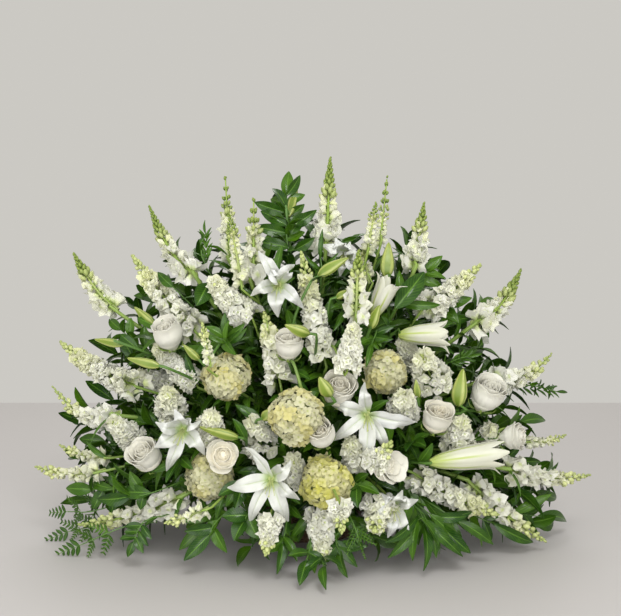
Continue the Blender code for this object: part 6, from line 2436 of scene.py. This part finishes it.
    def _spray(self, stems: Pile, leaves: Pile, node: str, entry: Spray, seed: int) -> None:
        """One spray of a bunch, its leafy part ending a leaf's length before its tip place.

        Args:
            stems: Where its twig goes.
            leaves: Where its leaves go.
            node: The node that holds it.
            entry: Its row of the plan.
            seed: The seed of the small differences.
        """
        base, tip = entry.ends()
        length, width = entry.length * MM, entry.width * MM
        tip = base.lerp(tip, max(0.2, 1.0 - length / max((tip - base).length, 0.001)))
        self.green.spray(stems, leaves, node, (base, tip), (length, width), entry.pairs, outward(tip),
                         entry.kind, seed)

    def _back(self) -> None:
        """The leafy sprays that close the back."""
        node = "foliage_back"
        stems, leaves = Pile(), Pile()
        self.green.foot(stems, node, STUB_RADIUS)
        for i, (azimuth, height, reach, length, width, pairs) in enumerate(BACK_SPRAYS):
            level = heading(math.radians(azimuth), 0.0)
            tip = level * ((reach - length) * MM) + Vector((0.0, 0.0, height * MM))
            base = HUB.lerp(tip, 0.62) + Vector((0.0, 0.0, 0.02))
            self.green.spray(stems, leaves, node, (base, tip), (length * MM, width * MM), pairs,
                             level * 0.6 + Vector((0.0, 0.0, 0.8)), BROAD, BACK_SEED + i)
        self._close(stems, leaves, node)

    def _close(self, stems: Pile, leaves: Pile, node: str) -> None:
        """Fill the room of a bunch with leafy twigs and make its two green pieces.

        Args:
            stems: The stems and twigs of the bunch.
            leaves: Its leaves.
            node: Its node.
        """
        self.green.thicket(stems, leaves, node)
        stems.piece(node + "_stems", "leaf_green", self.look["twig_green"], node)
        leaves.piece(node + "_leaves", "leaf_green", self.look["leaf_green"], node)


# Studio.

def placed(name: str, data: bpy.types.ID, spot: Sequence[float],
           aim: Optional[Vector] = None) -> bpy.types.Object:
    """Add an object to the studio.

    Args:
        name: Its name.
        data: Its mesh, light or camera.
        spot: Its place.
        aim: The direction in which it looks, if it is turned.

    Returns:
        The object.
    """
    made = bpy.data.objects.new(name, data)
    made.location = spot
    if aim is not None:
        made.rotation_euler = aim.to_track_quat("-Z", "Y").to_euler()
    bpy.context.scene.collection.objects.link(made)
    return made


@dataclass
class Studio:
    """The floor, the lights and the camera."""

    pitch: float = 6.3
    focal: float = 1305.0
    image_width: float = 621.0
    sensor: float = 36.0
    half: float = 6.0
    seam: float = 1.66

    def build(self) -> None:
        """Set up the studio."""
        self._floor()
        self._lights()
        self._camera()

    def _floor(self) -> None:
        """A plain pale floor that ends behind the object."""
        mesh = bpy.data.meshes.new("floor")
        half, seam = self.half, self.seam
        corners = ((-half, -half, 0.0), (half, -half, 0.0), (half, seam, 0.0), (-half, seam, 0.0))
        mesh.from_pydata(corners, [], [(0, 1, 2, 3)])
        finish = bpy.data.materials.new("floor")
        finish.use_nodes = True
        shader = finish.node_tree.nodes["Principled BSDF"]
        shader.inputs["Base Color"].default_value = (0.52, 0.50, 0.49, 1.0)
        shader.inputs["Roughness"].default_value = 0.6
        mesh.materials.append(finish)
        floor = placed("floor", mesh, (0.0, 0.0, 0.0))

    @staticmethod
    def _lights() -> None:
        """A soft key light from above, a fill from the left, a stronger broad light from the front, a rim
        light from behind, and pale air.
        """
        for name, spot, size, power in (("key", (0.4, -2.5, 2.9), 1.1, 50.0),
                                        ("fill", (-2.1, -2.4, 1.0), 2.0, 34.0),
                                        ("front", (0.5, -3.3, 0.6), 2.2, 64.0),
                                        ("rim", (0.0, 2.2, 2.6), 1.6, 26.0)):
            light = bpy.data.lights.new(name, "AREA")
            light.size = size
            light.energy = power
            placed(name, light, spot, Vector((0.0, 0.0, 0.35)) - Vector(spot))
        world = bpy.data.worlds.new("air")
        world.use_nodes = True
        air = world.node_tree.nodes["Background"]
        air.inputs["Color"].default_value = (0.82, 0.80, 0.75, 1.0)
        air.inputs["Strength"].default_value = 0.73
        bpy.context.scene.world = world

    def _camera(self) -> None:
        """The camera at the viewpoint, which looks a little down."""
        camera = bpy.data.cameras.new("camera")
        camera.sensor_width = self.sensor
        camera.lens = self.sensor * self.focal / self.image_width
        made = placed("camera", camera, EYE)
        made.rotation_euler = (math.radians(90.0 - self.pitch), 0.0, 0.0)
        bpy.context.scene.camera = made
        bpy.context.scene.view_settings.view_transform = "Standard"


def main() -> None:
    """Build the studio and the arrangement."""
    logging.basicConfig(level=logging.INFO, format="%(message)s")
    Studio().build()
    Arrangement().build()


if __name__ == "__main__":
    main()
